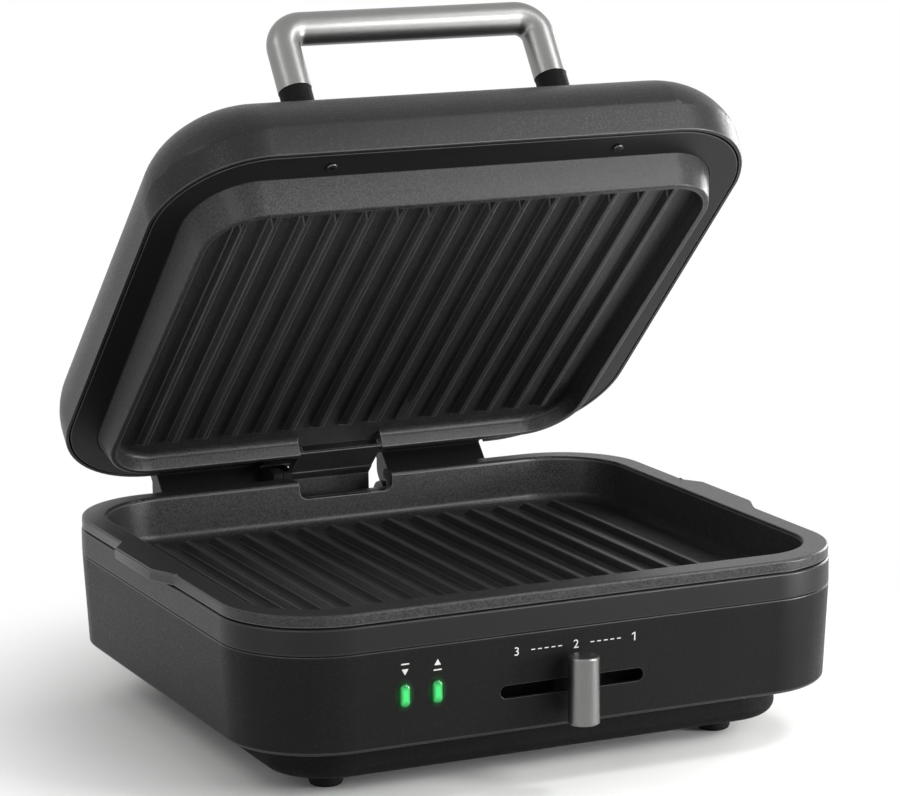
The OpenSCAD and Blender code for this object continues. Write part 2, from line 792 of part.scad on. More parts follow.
// Grooved guard for the lid's leads, beside the left inner ear and over the pin's end
module lead_guard() color("#2a2a2b") placed() {
    x0 = -ear_in + 0.02;
    x1 = -lip_w / 2 - 1;
    skin = 1.4;
    y0 = rear_y + plate_back_t + fit;
    difference() {
        bar_x(x0, x1) intersection() {
            translate([hinge_y, hinge_z]) circle(guard_r);
            translate([y0, cup_z + cup_h + 1]) square([guard_d, 2 * guard_r]);
        }
        translate([0, hinge_y, hinge_z]) rod_x(x0 - 1, x1 + 1, pin_r + 2.2);
        translate([x0 + skin, y0 + 2, hinge_z + pin_r])
            cube([x1 - x0 - 2 * skin, guard_d - 4, guard_r]);
        for (i = [1:3]) translate([x0 - 1, y0 + i * guard_d / 4 - 1, hinge_z + knuckle_r + 1])
            cube([1.5, 2, guard_r]);
    }
}

// ---- Drip cup ----

// Shelf with two side rails under the drain notch
module cup_shelf() color("#1d1d1f") placed() {
    half = cup_w / 2 + fit + rail_t;
    translate([-half, rear_y, cup_z - fit - shelf_t]) cube([2 * half, cup_d, shelf_t]);
    for (s = [-1, 1]) translate([s * (half - rail_t / 2) - rail_t / 2, rear_y, cup_z - fit - e])
        cube([rail_t, cup_d, rail_h]);
    translate([-half, rear_y, cup_z - fit - shelf_t - rail_h])
        cube([2 * half, shelf_t, rail_h + e]);
}

// Cup that pulls out to the back
module drip_cup() color("#2a2a2d") placed() {
    o = [-cup_w / 2, cup_w / 2, cup_y0, cup_y0 + cup_d, 6, 8];
    difference() {
        union() {
            basin(o, cup_z + cup_h, cup_z, 1.5);
            translate([-cup_w / 4, cup_y0 + cup_d - 2, cup_z + cup_h - 4])
                cube([cup_w / 2, 6, 2.4]);
        }
        basin(inset(o, cup_t), cup_z + cup_h + 1, cup_z + cup_t, 0.8);
    }
}

// ---- Lid ----

// Outside of the lid, moved in by d
module lid_block(d, z0) {
    intersection() {
        pillow(inset(lid_o, d), z0, lid_top - d, lid_fillet - d);
        translate([0, lid_o[2], lid_z + tuck_h]) rotate([atan(lid_tuck / tuck_h), 0, 0])
            slab([lid_o[0] + d - 0.3, lid_o[1] - d + 0.3, d, 2 * body_d, lid_r_front - d - 2, 2],
                 front_y, 2 * lid_h);
    }
}

// Places of the bosses that hold the inner frame
function lid_boss_at() = [for (sx = [-1, 1]) [sx * screw_x, edge_o[2] + screw_in]];

// Domed shell with windows for the arms and bosses for the inner frame
module lid_shell() color("#1b1b1d") opened() {
    difference() {
        lid_block(0, lid_z);
        lid_block(lid_wall, lid_z - 1);
        for (s = [0, 1]) mirror([s, 0, 0])
            translate([arm_in - fit, rear_y - window_in, lid_z - 1])
                cube([arm_w + 2 * fit, window_in + 4, window_h + 1]);
        for (s = [-1, 1]) translate([s * handle_span / 2, handle_y(), lid_top - 4 * lid_wall])
            cylinder(r = foot_screw_r + 0.5, h = 6 * lid_wall, $fn = 32);
    }
    intersection() {
        lid_block(lid_wall / 2, lid_z);
        for (p = lid_boss_at())
            translate([p[0], p[1], lid_z + frame_t]) difference() {
                cylinder(r = lid_boss_r, h = lid_h);
                translate([0, 0, -1]) cylinder(r = stud_r, h = screw_len + 4, $fn = 32);
            }
    }
}

// Flat frame inside the shell, round the raised rim of the plate
module lid_frame() color("#121213") opened()
    difference() {
        slab(frame_o, lid_z, lid_z + frame_t);
        tilted() rim_block(-0.4, 0);
        for (p = lid_boss_at())
            translate([p[0], p[1], lid_z - 1]) cylinder(r = stud_r, h = frame_t + 2, $fn = 32);
        translate([-lip_w / 2 - 1, lid_o[3] - rim_rear - 3, lid_z - 1])
            cube([lip_w + 2, 4, frame_t + 2]);
    }

// The plate's raised block in the plate's own frame, moved in by d
module rim_block(d, edge) {
    up = 9;
    basin(inset(rim_o, d - rim_slope * up), up, -rim_h, 1.4 + edge,
          rim_slope * (up + rim_h - 1.4));
}

// Ribbed plate with a raised rim and a drain lip at the back
module upper_plate() color("#26272b") opened() {
    floor = recess_h - rim_h;
    crest_in = rim_slope * rim_h + crest_w;
    flange = [lid_o[0] + 12, lid_o[1] - 12, lid_o[2] + 23.5, lid_o[3] - 14.5, 42, 44];
    difference() {
        union() {
            intersection() {
                tilted() rim_block(0, 0);
                translate([-body_w, -body_d, lid_z - 40])
                    cube([2 * body_w, 2 * body_d, 40 + frame_t + 3]);
            }
            slab(flange, lid_z + frame_t + seat, lid_z + frame_t + 3);
        }
        tilted() {
            pillow(inset(rim_o, crest_in), -rim_h - 1, floor, 4, 2);
            basin(inset(rim_o, crest_in + 6), 20, floor + plate_t, 3);
            translate([-lip_w / 2, rim_o[3] - crest_in - 6, -rim_h - 1])
                cube([lip_w, crest_in + 12, recess_h + 1]);
        }
    }
    tilted() mirror([0, 0, 1])
        ribs(-floor, rim_o[2] + crest_in + 12, rim_o[3] - crest_in - 15);
    difference() {
        bar_x(-lip_w / 2 - e, lip_w / 2 + e) lip_side(rim_o[3] - crest_in);
        bar_x(-lip_w / 2 + 2.4, lip_w / 2 - 2.4) lip_channel(rim_o[3] - crest_in - 1);
    }
}

// Bend and tip of the drain lip at a depth t behind its lower face
function lip_bend(t) = [lid_o[3] + 1.5 + t * tan(spout_fall / 2), lip_z + t];
function lip_tip(t, more) = lip_bend(0) + t * [sin(spout_fall), cos(spout_fall)]
    + (spout_len + more) * [cos(spout_fall), -sin(spout_fall)];

// Side of the lip, which runs back to y0, carries a band across its lower face
// and turns down as a spout over the drip cup
module lip_side(y0)
    polygon([[y0, lip_z + band_t], lip_bend(0) - [lip_band, -band_t],
             lip_bend(0) - [lip_band, 0], lip_bend(0), lip_tip(0, 0), lip_tip(lip_t, 0),
             lip_bend(lip_t), [y0, lip_z + lip_t]]);

// Side of the channel in the lip
module lip_channel(y0)
    polygon([[y0, lip_z + lip_floor], lip_bend(lip_floor), lip_tip(lip_floor, 2),
             lip_tip(3 * lip_t, 2), lip_bend(3 * lip_t), [y0, lip_z + 3 * lip_t]]);

// Tubular element behind the plate
module upper_element() color("#55504c") opened() tilted()
    heater(loop_o(rim_o), recess_h - rim_h + plate_t + tube_r + 0.2, leg_top);

// Sheet cover over the upper element
module upper_shield() color("#9a9a98") opened() {
    o = inset(rim_o, 4);
    difference() {
        pillow(o, lid_z + frame_t + 3, lid_z + frame_t + 16, 5);
        pillow(inset(o, shield_t), lid_z + frame_t + 2, lid_z + frame_t + 16 - shield_t,
               5 - shield_t);
    }
}

// Curved arm from the lid's back edge down to a knuckle on the pin
module hinge_arm() {
    root_z = lid_z + frame_t;
    corner = 7;
    difference() {
        intersection() {
            bar_x(arm_in, arm_out) {
                translate([hinge_y, hinge_z]) circle(knuckle_r);
                intersection() {
                    translate([hinge_y + knuckle_r - arm_curve, hinge_z + 4]) circle(arm_curve);
                    translate([hinge_y - knuckle_r, hinge_z]) square([60, 60]);
                }
                translate([hinge_y - knuckle_r, hinge_z]) square([2 * knuckle_r, 4.2]);
                intersection() {
                    translate([hinge_y + knuckle_r - arm_curve, hinge_z + 4]) circle(arm_curve);
                    translate([rear_y + 0.2, root_z]) square([60, 60]);
                }
                translate([rear_y - arm_root_in, root_z])
                    square([arm_root_in + hinge_back, arm_root_h]);
            }
            slab([arm_in, arm_out, rear_y - 40, hinge_y + knuckle_r + e, corner, corner],
                 hinge_z - 20, lid_z + 40);
        }
        translate([0, hinge_y, hinge_z]) rod_x(arm_in - 1, arm_out + 1, pin_r + run);
    }
}

module hinge_arm_right() color("#19191a") opened() hinge_arm();
module hinge_arm_left() color("#19191a") opened() mirror([1, 0, 0]) hinge_arm();

// Two small screws through the front of the inner frame
module lid_screws() color("#6a6a6c") opened()
    for (p = lid_boss_at())
        translate([p[0], p[1], 0]) screw(lid_z, lid_z + frame_t + screw_len, 3, stud_r - seat);

// ---- Handle ----

// Place of the handle's legs, front to back
function handle_y() = lid_o[2] + handle_in;

// The handle's own frame: its foot is on the lid and it leans forward
module leaning() {
    translate([0, handle_y(), lid_top]) rotate([handle_lean, 0, 0]) children();
}

// A rod of radius r along the handle, whose legs start at height z0
module handle_path(r, z0) {
    x = handle_span / 2;
    leg_top = handle_h - handle_bend;
    translate([0, 0, handle_h]) rod_x(-x + handle_bend, x - handle_bend, r);
    for (s = [0, 1]) mirror([s, 0, 0]) {
        translate([x - handle_bend, 0, leg_top]) rotate([90, 0, 0])
            rotate_extrude(angle = 90) translate([handle_bend, 0]) circle(r);
        translate([x, 0, z0]) cylinder(r = r, h = leg_top - z0);
    }
}

// Bent steel tube, open at the foot of each leg
module handle_tube() color("#a9a9ab") opened() leaning() difference() {
    handle_path(handle_d / 2, ferrule_h);
    handle_path(handle_d / 2 - tube_wall, ferrule_h - 1);
}

// Black ferrule that seats one leg on the lid
module ferrule(s) color("#151515") opened() difference() {
    leaning() translate([s * handle_span / 2, 0, -2]) {
        cylinder(r = handle_d / 2 - 0.3, h = ferrule_h + 2);
        cylinder(r = handle_d / 2 - tube_wall - seat, h = ferrule_h + 8);
    }
    translate([-body_w, -body_d, lid_top - 20]) cube([2 * body_w, 2 * body_d, 20]);
    translate([s * handle_span / 2, handle_y(), lid_top - 1])
        cylinder(r = foot_screw_r + 0.2, h = screw_len, $fn = 32);
}

module ferrule_left() ferrule(-1);
module ferrule_right() ferrule(1);

// Screws from inside the lid into the legs
module handle_screws() color("silver") opened()
    for (s = [-1, 1]) translate([s * handle_span / 2, handle_y(), 0])
        screw(lid_top - lid_wall - seat, lid_top + screw_len - 2, 4, foot_screw_r);

base_shell();
trim_band();
underbody();
feet();
underbody_screws();
lower_pan();
lower_element();
lower_shield();
element_saddles();
thermostat();
terminal_block();
cord_gland();
led_board();
lens_left();
lens_right();
slide_track();
slide_carriage();
slide_knob();
hinge_bracket_left();
hinge_bracket_right();
hinge_pins();
hinge_washers();
lead_guard();
cup_shelf();
drip_cup();
lid_shell();
lid_frame();
upper_plate();
upper_element();
upper_shield();
hinge_arm_left();
hinge_arm_right();
lid_screws();
handle_tube();
ferrule_left();
ferrule_right();
handle_screws();
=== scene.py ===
# %% [markdown]
# # An indoor grill with a hinged lid
# The grill's solids come ready-made and in their true places. This script gives
# each of them its finish, and adds the pieces and fine shapes that solids leave
# out. Everything is in metres, with +Z up and +X to the right seen from the front.

# %% Load the grill's solids
import json
import math

import bpy
from mathutils import Matrix, Vector


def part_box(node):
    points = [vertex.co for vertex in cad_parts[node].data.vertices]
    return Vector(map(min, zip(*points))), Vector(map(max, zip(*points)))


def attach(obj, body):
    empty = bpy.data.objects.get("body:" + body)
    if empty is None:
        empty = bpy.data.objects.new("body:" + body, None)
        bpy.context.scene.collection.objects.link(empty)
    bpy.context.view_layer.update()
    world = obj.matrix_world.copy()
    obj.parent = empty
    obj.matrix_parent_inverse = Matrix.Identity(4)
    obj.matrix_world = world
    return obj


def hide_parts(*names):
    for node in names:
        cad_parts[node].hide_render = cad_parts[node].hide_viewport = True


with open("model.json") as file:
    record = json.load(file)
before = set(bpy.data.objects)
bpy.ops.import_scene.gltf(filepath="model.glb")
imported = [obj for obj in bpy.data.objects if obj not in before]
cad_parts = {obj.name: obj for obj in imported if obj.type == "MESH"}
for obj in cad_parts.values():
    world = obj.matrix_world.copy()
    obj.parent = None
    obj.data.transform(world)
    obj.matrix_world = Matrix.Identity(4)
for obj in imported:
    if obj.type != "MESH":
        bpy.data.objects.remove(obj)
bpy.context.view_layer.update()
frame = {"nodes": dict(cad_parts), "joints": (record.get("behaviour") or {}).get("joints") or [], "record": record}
nodes = frame["nodes"]

# %% [markdown]
# Most sizes are read from the solids, so that little has to be fitted. The
# housing gives the middle of the grill, and the hinge joint the lid's axis. The lid
# is stored open, 43 degrees up from where it is shut, so what is made square to the
# lid is turned by that angle about the hinge.

# %% Measure the solids
MM = 0.001
housing_low, housing_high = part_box("base_shell")
middle_y = (housing_low.y + housing_high.y) / 2
joint = next(j for j in frame["joints"] if j["name"] == "lid_hinge")
hinge = Vector(joint["pos_m"])
lid_angle = math.radians(-43)
lid_turn = Matrix.Rotation(lid_angle, 3, "X")
lid_down = lid_turn @ Vector((0, 0, -1))
print("housing middle y", round(middle_y, 5), "hinge", [round(c, 5) for c in hinge])


# %% [markdown]
# Shader maths reads best as plain sums. A small class holds one socket of a
# material, and its operators add the Math nodes that the sum stands for. Any other
# node comes from one method, which takes the node's type, its settings and the
# values of its sockets.

# %% A socket that can be used in sums
class Value:
    def __init__(self, finish, socket):
        self.finish = finish
        self.socket = socket

    def math(self, operation, *terms):
        settings = {"operation": operation}
        return self.finish.node("ShaderNodeMath", settings, dict(enumerate(terms)))

    def __add__(self, other):
        return self.math("ADD", self, other)

    def __radd__(self, other):
        return self.math("ADD", other, self)

    def __sub__(self, other):
        return self.math("SUBTRACT", self, other)

    def __rsub__(self, other):
        return self.math("SUBTRACT", other, self)

    def __mul__(self, other):
        return self.math("MULTIPLY", self, other)

    def __rmul__(self, other):
        return self.math("MULTIPLY", other, self)

    def __abs__(self):
        return self.math("ABSOLUTE", self)

    def between(self, low, high):
        """0 below low, 1 above high and a smooth step between them."""
        settings = {"interpolation_type": "SMOOTHSTEP"}
        sockets = {"Value": self, "From Min": low, "From Max": high}
        return self.finish.node("ShaderNodeMapRange", settings, sockets)


# %% [markdown]
# A finish is one material with one main shader. The second class makes it, sets its
# sockets and adds its nodes. Patterns are measured on Object coordinates, which
# stay with the piece when it moves, and a Mapping node in Texture mode lays them
# out from a centre, along turned axes and in a unit of their own.

# %% A material that is built from expressions
class Finish:
    def __init__(self, name, **sockets):
        self.material = bpy.data.materials.new(name)
        self.material.use_nodes = True
        self.tree = self.material.node_tree
        self.shader = self.tree.nodes["Principled BSDF"]
        for label, value in sockets.items():
            self.set(label.replace("_", " "), value)

    def set(self, label, value):
        self.feed(self.shader.inputs[label], value)

    def feed(self, socket, value):
        if isinstance(value, Value):
            self.tree.links.new(value.socket, socket)
        else:
            socket.default_value = value

    def node(self, kind, settings=None, sockets=None, output=0):
        """Adds any node: its settings first, then its sockets' values or links."""
        node = self.tree.nodes.new(kind)
        for label, value in (settings or {}).items():
            setattr(node, label, value)
        for label, value in (sockets or {}).items():
            self.feed(node.inputs[label], value)
        return Value(self, node.outputs[output])

    def place(self, centre=(0, 0, 0), turn=(0, 0, 0), unit=(1, 1, 1)):
        """Object coordinates, measured from a centre, along turned axes, in a unit."""
        here = self.node("ShaderNodeTexCoord", output="Object")
        return self.node("ShaderNodeMapping", {"vector_type": "TEXTURE"}, {
            "Vector": here, "Location": centre, "Rotation": turn, "Scale": unit})

    def noise(self, scale, detail=2.0, rough=0.5, place=None):
        """Soft cloudy noise from 0 to 1, with scale in features per metre."""
        return self.node("ShaderNodeTexNoise", None, {
            "Vector": place or self.place(), "Scale": scale,
            "Detail": detail, "Roughness": rough})

    def axis(self, which, place=None):
        """One coordinate, in metres."""
        return self.node("ShaderNodeSeparateXYZ", None,
                         {0: place or self.place()}, which)

    def shade(self, factor, dark, light):
        """A colour between dark and light, each a colour or a mixed one."""
        pair = [c if isinstance(c, Value) else (*c, 1) for c in (dark, light)]
        return self.node("ShaderNodeMix", {"data_type": "RGBA"},
                         {0: factor, 6: pair[0], 7: pair[1]}, 2)

    def bump(self, height, depth, strength=1.0):
        """Feeds a height from 0 to 1 into the shader, depth in metres."""
        self.set("Normal", self.node("ShaderNodeBump", None, {
            "Height": height, "Distance": depth, "Strength": strength}))


def grey(level, warm=0.97):
    """A slightly warm grey."""
    return (level, level, level * warm)


# %% [markdown]
# Moulded plastic for hot appliances is near black with a spark-eroded grain: tiny
# rounded pits, well under a millimetre across. One fine noise gives the pits, and
# a coarse one changes the shade and the gloss a little from place to place, as
# handling and uneven moulding do. Black plastic reflects far less than a glossy
# one, so its specular level is low. The level is the same all over, so it is set
# on the shader's own socket. The housing also has a painted green glow, in place
# of the light that the two lit lamps throw on it, which fades within a few
# millimetres of them.

# %% Moulded plastics
def moulded(name, dark, light, rough, specular, grain=1500.0, depth=0.05 * MM, lamps=()):
    f = Finish(name, Specular_IOR_Level=specular)
    pits = f.noise(grain, 3.0, 0.6)
    cloud = f.noise(14.0, 3.0, 0.55)
    speck = f.noise(grain * 0.6, 2.0, 0.5).between(0.50, 0.66)
    f.set("Base Color", f.shade(cloud * 0.4 + speck * 0.6, grey(dark), grey(light)))
    f.set("Roughness", rough + cloud * 0.08 - speck * 0.10)
    f.bump(pits, depth)
    if lamps:
        # Painted green glow: emission on the housing near each lamp, in place of the lamps' light falling on it.
        painted_glow = 0.0
        for lamp in lamps:
            here = f.place((lamp.x, 0, lamp.z), unit=painted_glow_reach)
            sideways, upright = f.axis(0, here), f.axis(2, here)
            painted_glow = painted_glow + 1 - (sideways * sideways + upright * upright).between(0.1, 1.0)
        front = 1 - f.axis(1).between(-0.10, -0.05)
        f.set("Emission Color", f.shade(painted_glow * front, (0, 0, 0), (0.0, 0.060, 0.010)))
        f.set("Emission Strength", 1.0)
    return f.material


painted_glow_reach = (6.0 * MM, 1, 9.5 * MM)
lamp_places = [sum(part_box(name), Vector()) / 2 for name in ("lens_left", "lens_right")]
# The housing plastic has the painted green glow around both lamps.
housing_plastic = moulded("grained housing plastic", 0.0040, 0.0100, 0.40, 0.11,
                          lamps=lamp_places)
# Edge finishes are lighter than the faces: wear from use and a painted highlight along the rounds.
housing_edge_wear_and_highlight = moulded("housing edge wear and painted highlight", 0.010, 0.026, 0.30, 0.30)
lid_plastic = moulded("grained lid plastic", 0.0050, 0.0240, 0.37, 0.24, 1700.0,
                      0.08 * MM)
lid_edge_wear_and_highlight = moulded("lid edge wear and painted highlight", 0.020, 0.055, 0.30, 0.45)
band_plastic = moulded("satin band plastic", 0.0050, 0.0090, 0.38, 0.24, 2200.0,
                       0.02 * MM)
under_plastic = moulded("dull underbody plastic", 0.0040, 0.0070, 0.66, 0.10, 1200.0,
                        0.08 * MM)
inner_plastic = moulded("inner plastic", 0.0030, 0.0060, 0.60, 0.10, 1600.0, 0.04 * MM)
arm_plastic = moulded("black arm plastic", 0.0050, 0.0100, 0.42, 0.22, 1100.0, 0.05 * MM)
print("plastics:", housing_plastic.name, lid_plastic.name, band_plastic.name)

# %% [markdown]
# The two plates are cast aluminium under a sprayed non-stick coating. It shows a
# fine mottle with small lighter flecks in a dark grey, and a soft sheen. A faint
# brownish painted highlight runs along both edges of a rib's crest. The ribs are
# evenly spaced, so the distance to the nearest rib's middle comes from the
# fraction of x over the pitch. The crests of the lower plate are level. Those of
# the upper plate run along a slope, which its middle rib gives.

# %% Find the ribs' crests
rib_pitch = 18.3 * MM
rib_crest = 2.8 * MM
rib_half = rib_crest / 2
lower_crest_drop = 22.5 * MM  # from the pan's top edge down to its crests
middle_rib = [lid_turn.inverted() @ (v.co - hinge)
              for v in nodes["upper_plate"].data.vertices if abs(v.co.x) < rib_half * 1.05]
rib_front = min(middle_rib, key=lambda p: (round(p.y, 4), p.z))
rib_back = min(middle_rib, key=lambda p: (-round(p.y, 4), p.z))
rib_slope = (rib_back.z - rib_front.z) / (rib_back.y - rib_front.y)
print("upper crest from", [round(c, 4) for c in rib_front], "slope", round(rib_slope, 4))


# %% Non-stick coating
def coating(name, upper):
    f = Finish(name, Specular_IOR_Level=0.27)
    mottle = f.noise(900.0, 3.0, 0.6)
    flecks = f.noise(2300.0, 1.0, 0.4).between(0.56, 0.70)
    cloud = f.noise(11.0, 2.0, 0.5)
    grain = mottle.between(0.36, 0.64)
    base = f.shade(grain * 0.7 + cloud * 0.3, grey(0.006, 1.0), grey(0.034, 1.05))
    base = f.shade(flecks * 0.5, base, grey(0.085, 1.02))
    if upper:
        here = f.place(hinge, (lid_angle, 0, 0))
        along, height = f.axis(1, here), f.axis(2, here)
        drop = height - (along - rib_front.y) * rib_slope - rib_front.z
    else:
        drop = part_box("lower_pan")[1].z - lower_crest_drop - f.axis(2)
    # Painted highlight: a brownish light line along both edges of each rib's crest.
    across = abs((f.axis(0) * (1 / rib_pitch) + 8.5).math("FRACT") - 0.5) * rib_pitch
    line = 1 - abs(across - rib_half).between(0.1 * MM, 0.7 * MM)
    crest = line * (1 - abs(drop).between(0.8 * MM, 1.6 * MM))
    coat_with_crest_highlight = f.shade(crest * (0.25 + cloud * 0.5), base, (0.085, 0.055, 0.035))
    f.set("Base Color", coat_with_crest_highlight)
    f.set("Roughness", 0.30 + grain * 0.10 - flecks * 0.06 - crest * 0.05)
    f.bump(mottle * 0.7 + flecks * 0.3, 0.10 * MM)
    return f.material


upper_coat = coating("upper non-stick coating", True)
lower_coat = coating("lower non-stick coating", False)
print("coatings:", upper_coat.name, lower_coat.name)

# %% [markdown]
# Brushed steel is a mirror cut by fine scratches that all run one way. A noise
# that is squeezed across the scratches and stretched along them gives that grain,
# in the gloss and in a very shallow bump. The handle is one bent tube, so its
# scratches run along the bar and then down the legs: one noise is stretched along
# x, one along the legs, and they change over in the bends.

# %% Brushed metals
foot = sum(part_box("ferrule_left"), Vector()) / 2
tube = sorted((v.co for v in nodes["handle_tube"].data.vertices), key=lambda p: abs(p.x))
bar_middle = sum(tube[:40], Vector()) / 40
leg_lean = math.atan2(bar_middle.y - foot.y, bar_middle.z - foot.z)
leg_half = (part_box("handle_tube")[1].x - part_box("handle_tube")[0].x) / 2
print("legs lean", round(math.degrees(leg_lean), 1), "degrees back")


def brushed(name, unit, level, rough, legs=None):
    f = Finish(name, Metallic=1.0)
    lines = f.noise(2600.0, 4.0, 0.7, f.place(unit=unit))
    if legs:
        stood = f.place(turn=(-leg_lean, 0, 0), unit=legs)
        on_leg = abs(f.axis(0)).between(leg_half - 26 * MM, leg_half - 16 * MM)
        lines = lines * (1 - on_leg) + f.noise(2600.0, 4.0, 0.7, stood) * on_leg
    cloud = f.noise(30.0, 2.0, 0.5)
    f.set("Base Color", f.shade(lines * 0.7 + cloud * 0.3, grey(level * 0.72, 0.975),
                                grey(level * 1.28, 0.985)))
    f.set("Roughness", rough + lines * 0.14 - cloud * 0.05)
    f.bump(lines, 0.012 * MM, 0.6)
    return f.material


handle_steel = brushed("brushed handle steel", (14, 1, 1), 0.23, 0.34, (1, 1, 14))
knob_steel = brushed("brushed knob steel", (1, 1, 20), 0.19, 0.27)


# %% [markdown]
# The screws, the heating elements and the sheets behind them are plain metal. They
# differ in colour and gloss only, so one function makes all three, and a fine
# spotting keeps them from looking like paint.

# %% Plain metals
def plain_metal(name, colour, rough):
    f = Finish(name, Metallic=1.0)
    spots = f.noise(400.0, 3.0, 0.6)
    f.set("Base Color", f.shade(spots, tuple(c * 0.8 for c in colour), colour))
    f.set("Roughness", rough + spots * 0.15)
    f.bump(spots, 0.02 * MM)
    return f.material


screw_steel = plain_metal("blackened screw steel", (0.11, 0.11, 0.112), 0.24)
tinted_steel = plain_metal("heat-tinted steel", (0.16, 0.13, 0.11), 0.42)
sheet_metal = plain_metal("aluminised sheet", (0.62, 0.62, 0.61), 0.38)
print("metals:", handle_steel.name, knob_steel.name, screw_steel.name)


# %% [markdown]
# The rest are small parts: paint, rubber, nylon, ceramic, the green board and the
# printed marks. Each still has a shade and a surface of its own.

# %% Paint, rubber and the small parts
def surface(name, dark, light, rough, scale, depth, **sockets):
    f = Finish(name, **sockets)
    spots = f.noise(scale, 3.0, 0.6)
    f.set("Base Color", f.shade(spots, dark, light))
    f.set("Roughness", rough + spots * 0.12)
    f.bump(spots, depth)
    return f.material


frame_paint = surface("smooth black frame", grey(0.004), grey(0.010),
                      0.30, 700.0, 0.02 * MM, Specular_IOR_Level=0.18)
# Lighter edge finishes for the frame and the coating: wear, and a painted highlight along the rounds.
frame_edge_wear_and_highlight = surface("frame edge wear and painted highlight", grey(0.03), grey(0.06),
                     0.28, 700.0, 0.01 * MM, Specular_IOR_Level=0.5)
coat_edge_wear_and_highlight = surface("coating edge wear and painted highlight", grey(0.035), grey(0.085),
                    0.30, 1200.0, 0.03 * MM, Specular_IOR_Level=0.5)
rubber = surface("black rubber", grey(0.005), grey(0.009),
                 0.70, 900.0, 0.06 * MM, Specular_IOR_Level=0.15)
nylon = surface("natural nylon", (0.58, 0.57, 0.53), (0.66, 0.65, 0.61),
                0.4, 300.0, 0.03 * MM)
ceramic = surface("unglazed ceramic", (0.66, 0.63, 0.56), (0.74, 0.71, 0.64),
                  0.6, 800.0, 0.04 * MM)
board_green = surface("green board", (0.015, 0.11, 0.04), (0.03, 0.16, 0.06),
                      0.35, 500.0, 0.02 * MM)
print_ink = surface("printed light grey ink", grey(0.36), grey(0.62),
                    0.55, 2500.0, 0.02 * MM)
print("small parts:", frame_paint.name, rubber.name, nylon.name, print_ink.name)


# %% [markdown]
# An indicator's lens is green plastic with a light behind it. A lamp inside the lens
# would have to be traced through the plastic, so the lens glows by itself instead:
# most in its middle, and less towards its moulded edge.

# %% Lit lenses
def lit_lens(name, node):
    """Brightest in the middle of the lens, darker towards its moulded edge."""
    low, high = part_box(node)
    middle = ((low.x + high.x) / 2, 0.0, (low.z + high.z) / 2)
    f = Finish(name, Roughness=0.22)
    here = f.place(middle, unit=((high.x - low.x) / 2, 1, (high.z - low.z) / 2))
    sideways, upright = abs(f.axis(0, here)), abs(f.axis(2, here))
    edge = sideways.math("MAXIMUM", sideways, upright).between(0.30, 1.0)
    swirl = f.noise(700.0, 1.0, 0.5)
    dim = edge * 0.9 + swirl * 0.1
    f.set("Base Color", f.shade(dim, (0.004, 0.12, 0.03), (0.002, 0.05, 0.01)))
    f.set("Emission Color", f.shade(dim, (0.055, 0.72, 0.17), (0.0, 0.13, 0.02)))
    f.set("Emission Strength", 1.0)
    f.bump(swirl, 0.02 * MM)
    return f.material


lens_glow = {name: lit_lens("lit " + name, name) for name in ("lens_left", "lens_right")}
print("lenses:", [lens.name for lens in lens_glow.values()])

# %% [markdown]
# A finish goes on a solid through its material slots. The solid itself isn't
# touched.

# %% Dress the solids
finishes = {
    "base_shell": housing_plastic, "trim_band": band_plastic, "underbody": under_plastic,
    "feet": rubber, "underbody_screws": screw_steel, "lower_pan": lower_coat,
    "lower_element": tinted_steel, "lower_shield": sheet_metal,
    "element_saddles": sheet_metal, "thermostat": tinted_steel,
    "terminal_block": ceramic, "cord_gland": rubber, "led_board": board_green,
    "lens_left": lens_glow["lens_left"], "lens_right": lens_glow["lens_right"],
    "slide_track": inner_plastic, "slide_carriage": inner_plastic, "slide_knob": knob_steel,
    "hinge_bracket_left": arm_plastic, "hinge_bracket_right": arm_plastic,
    "hinge_pins": screw_steel, "hinge_washers": nylon, "lead_guard": rubber,
    "cup_shelf": inner_plastic, "drip_cup": under_plastic, "lid_shell": lid_plastic,
    "lid_frame": frame_paint, "upper_plate": upper_coat, "upper_element": tinted_steel,
    "upper_shield": sheet_metal, "hinge_arm_left": arm_plastic,
    "hinge_arm_right": arm_plastic, "lid_screws": screw_steel,
    "handle_tube": handle_steel, "ferrule_left": inner_plastic,
    "ferrule_right": inner_plastic, "handle_screws": screw_steel,
}
for name, finish in finishes.items():
    for material_slot in nodes[name].material_slots:
        material_slot.material = finish
print("dressed", len(finishes), "of", len(nodes))

# %% [markdown]
# No moulded, cast or drawn part has knife-sharp edges: a small round runs along
# each of them, and that round is what catches the light. Cutting it by hand along
# hundreds of edges is slow, so a copy of the solid gets it from a Bevel modifier.
# The copy is merged first, because a solid comes as loose triangles, and flat
# faces are dissolved into one. Where many edges meet, a bevel can throw a corner
# out past the surface. A Shrinkwrap modifier set to Inside brings back only what
# lies outside the solid, so the rounded copy never stands proud of it.

# %% A merged copy of a solid
node_body = {name: body for body, names in frame["record"]["behaviour"]["bodies"].items()
             for name in names}


def take_only(piece):
    bpy.ops.object.select_all(action="DESELECT")
    piece.select_set(True)
    bpy.context.view_layer.objects.active = piece


def apply_all(piece):
    take_only(piece)
    for modifier in list(piece.modifiers):
        bpy.ops.object.modifier_apply(modifier=modifier.name)


def merged_copy(name, new_name):
    take_only(nodes[name])
    bpy.ops.object.duplicate()
    piece = bpy.context.object
    piece.name = new_name
    bpy.ops.mesh.customdata_custom_splitnormals_clear()
    bpy.ops.object.mode_set(mode="EDIT")
    bpy.ops.mesh.select_all(action="SELECT")
    bpy.ops.mesh.remove_doubles(threshold=0.02 * MM)
    bpy.ops.mesh.dissolve_limited(angle_limit=math.radians(0.6))
    bpy.ops.object.mode_set(mode="OBJECT")
    return piece


# %% Softened edges
round_over = math.radians(32)  # edges that bend by more than this are rounded
smooth_under = math.radians(40)  # edges that bend by less than this are shaded smooth


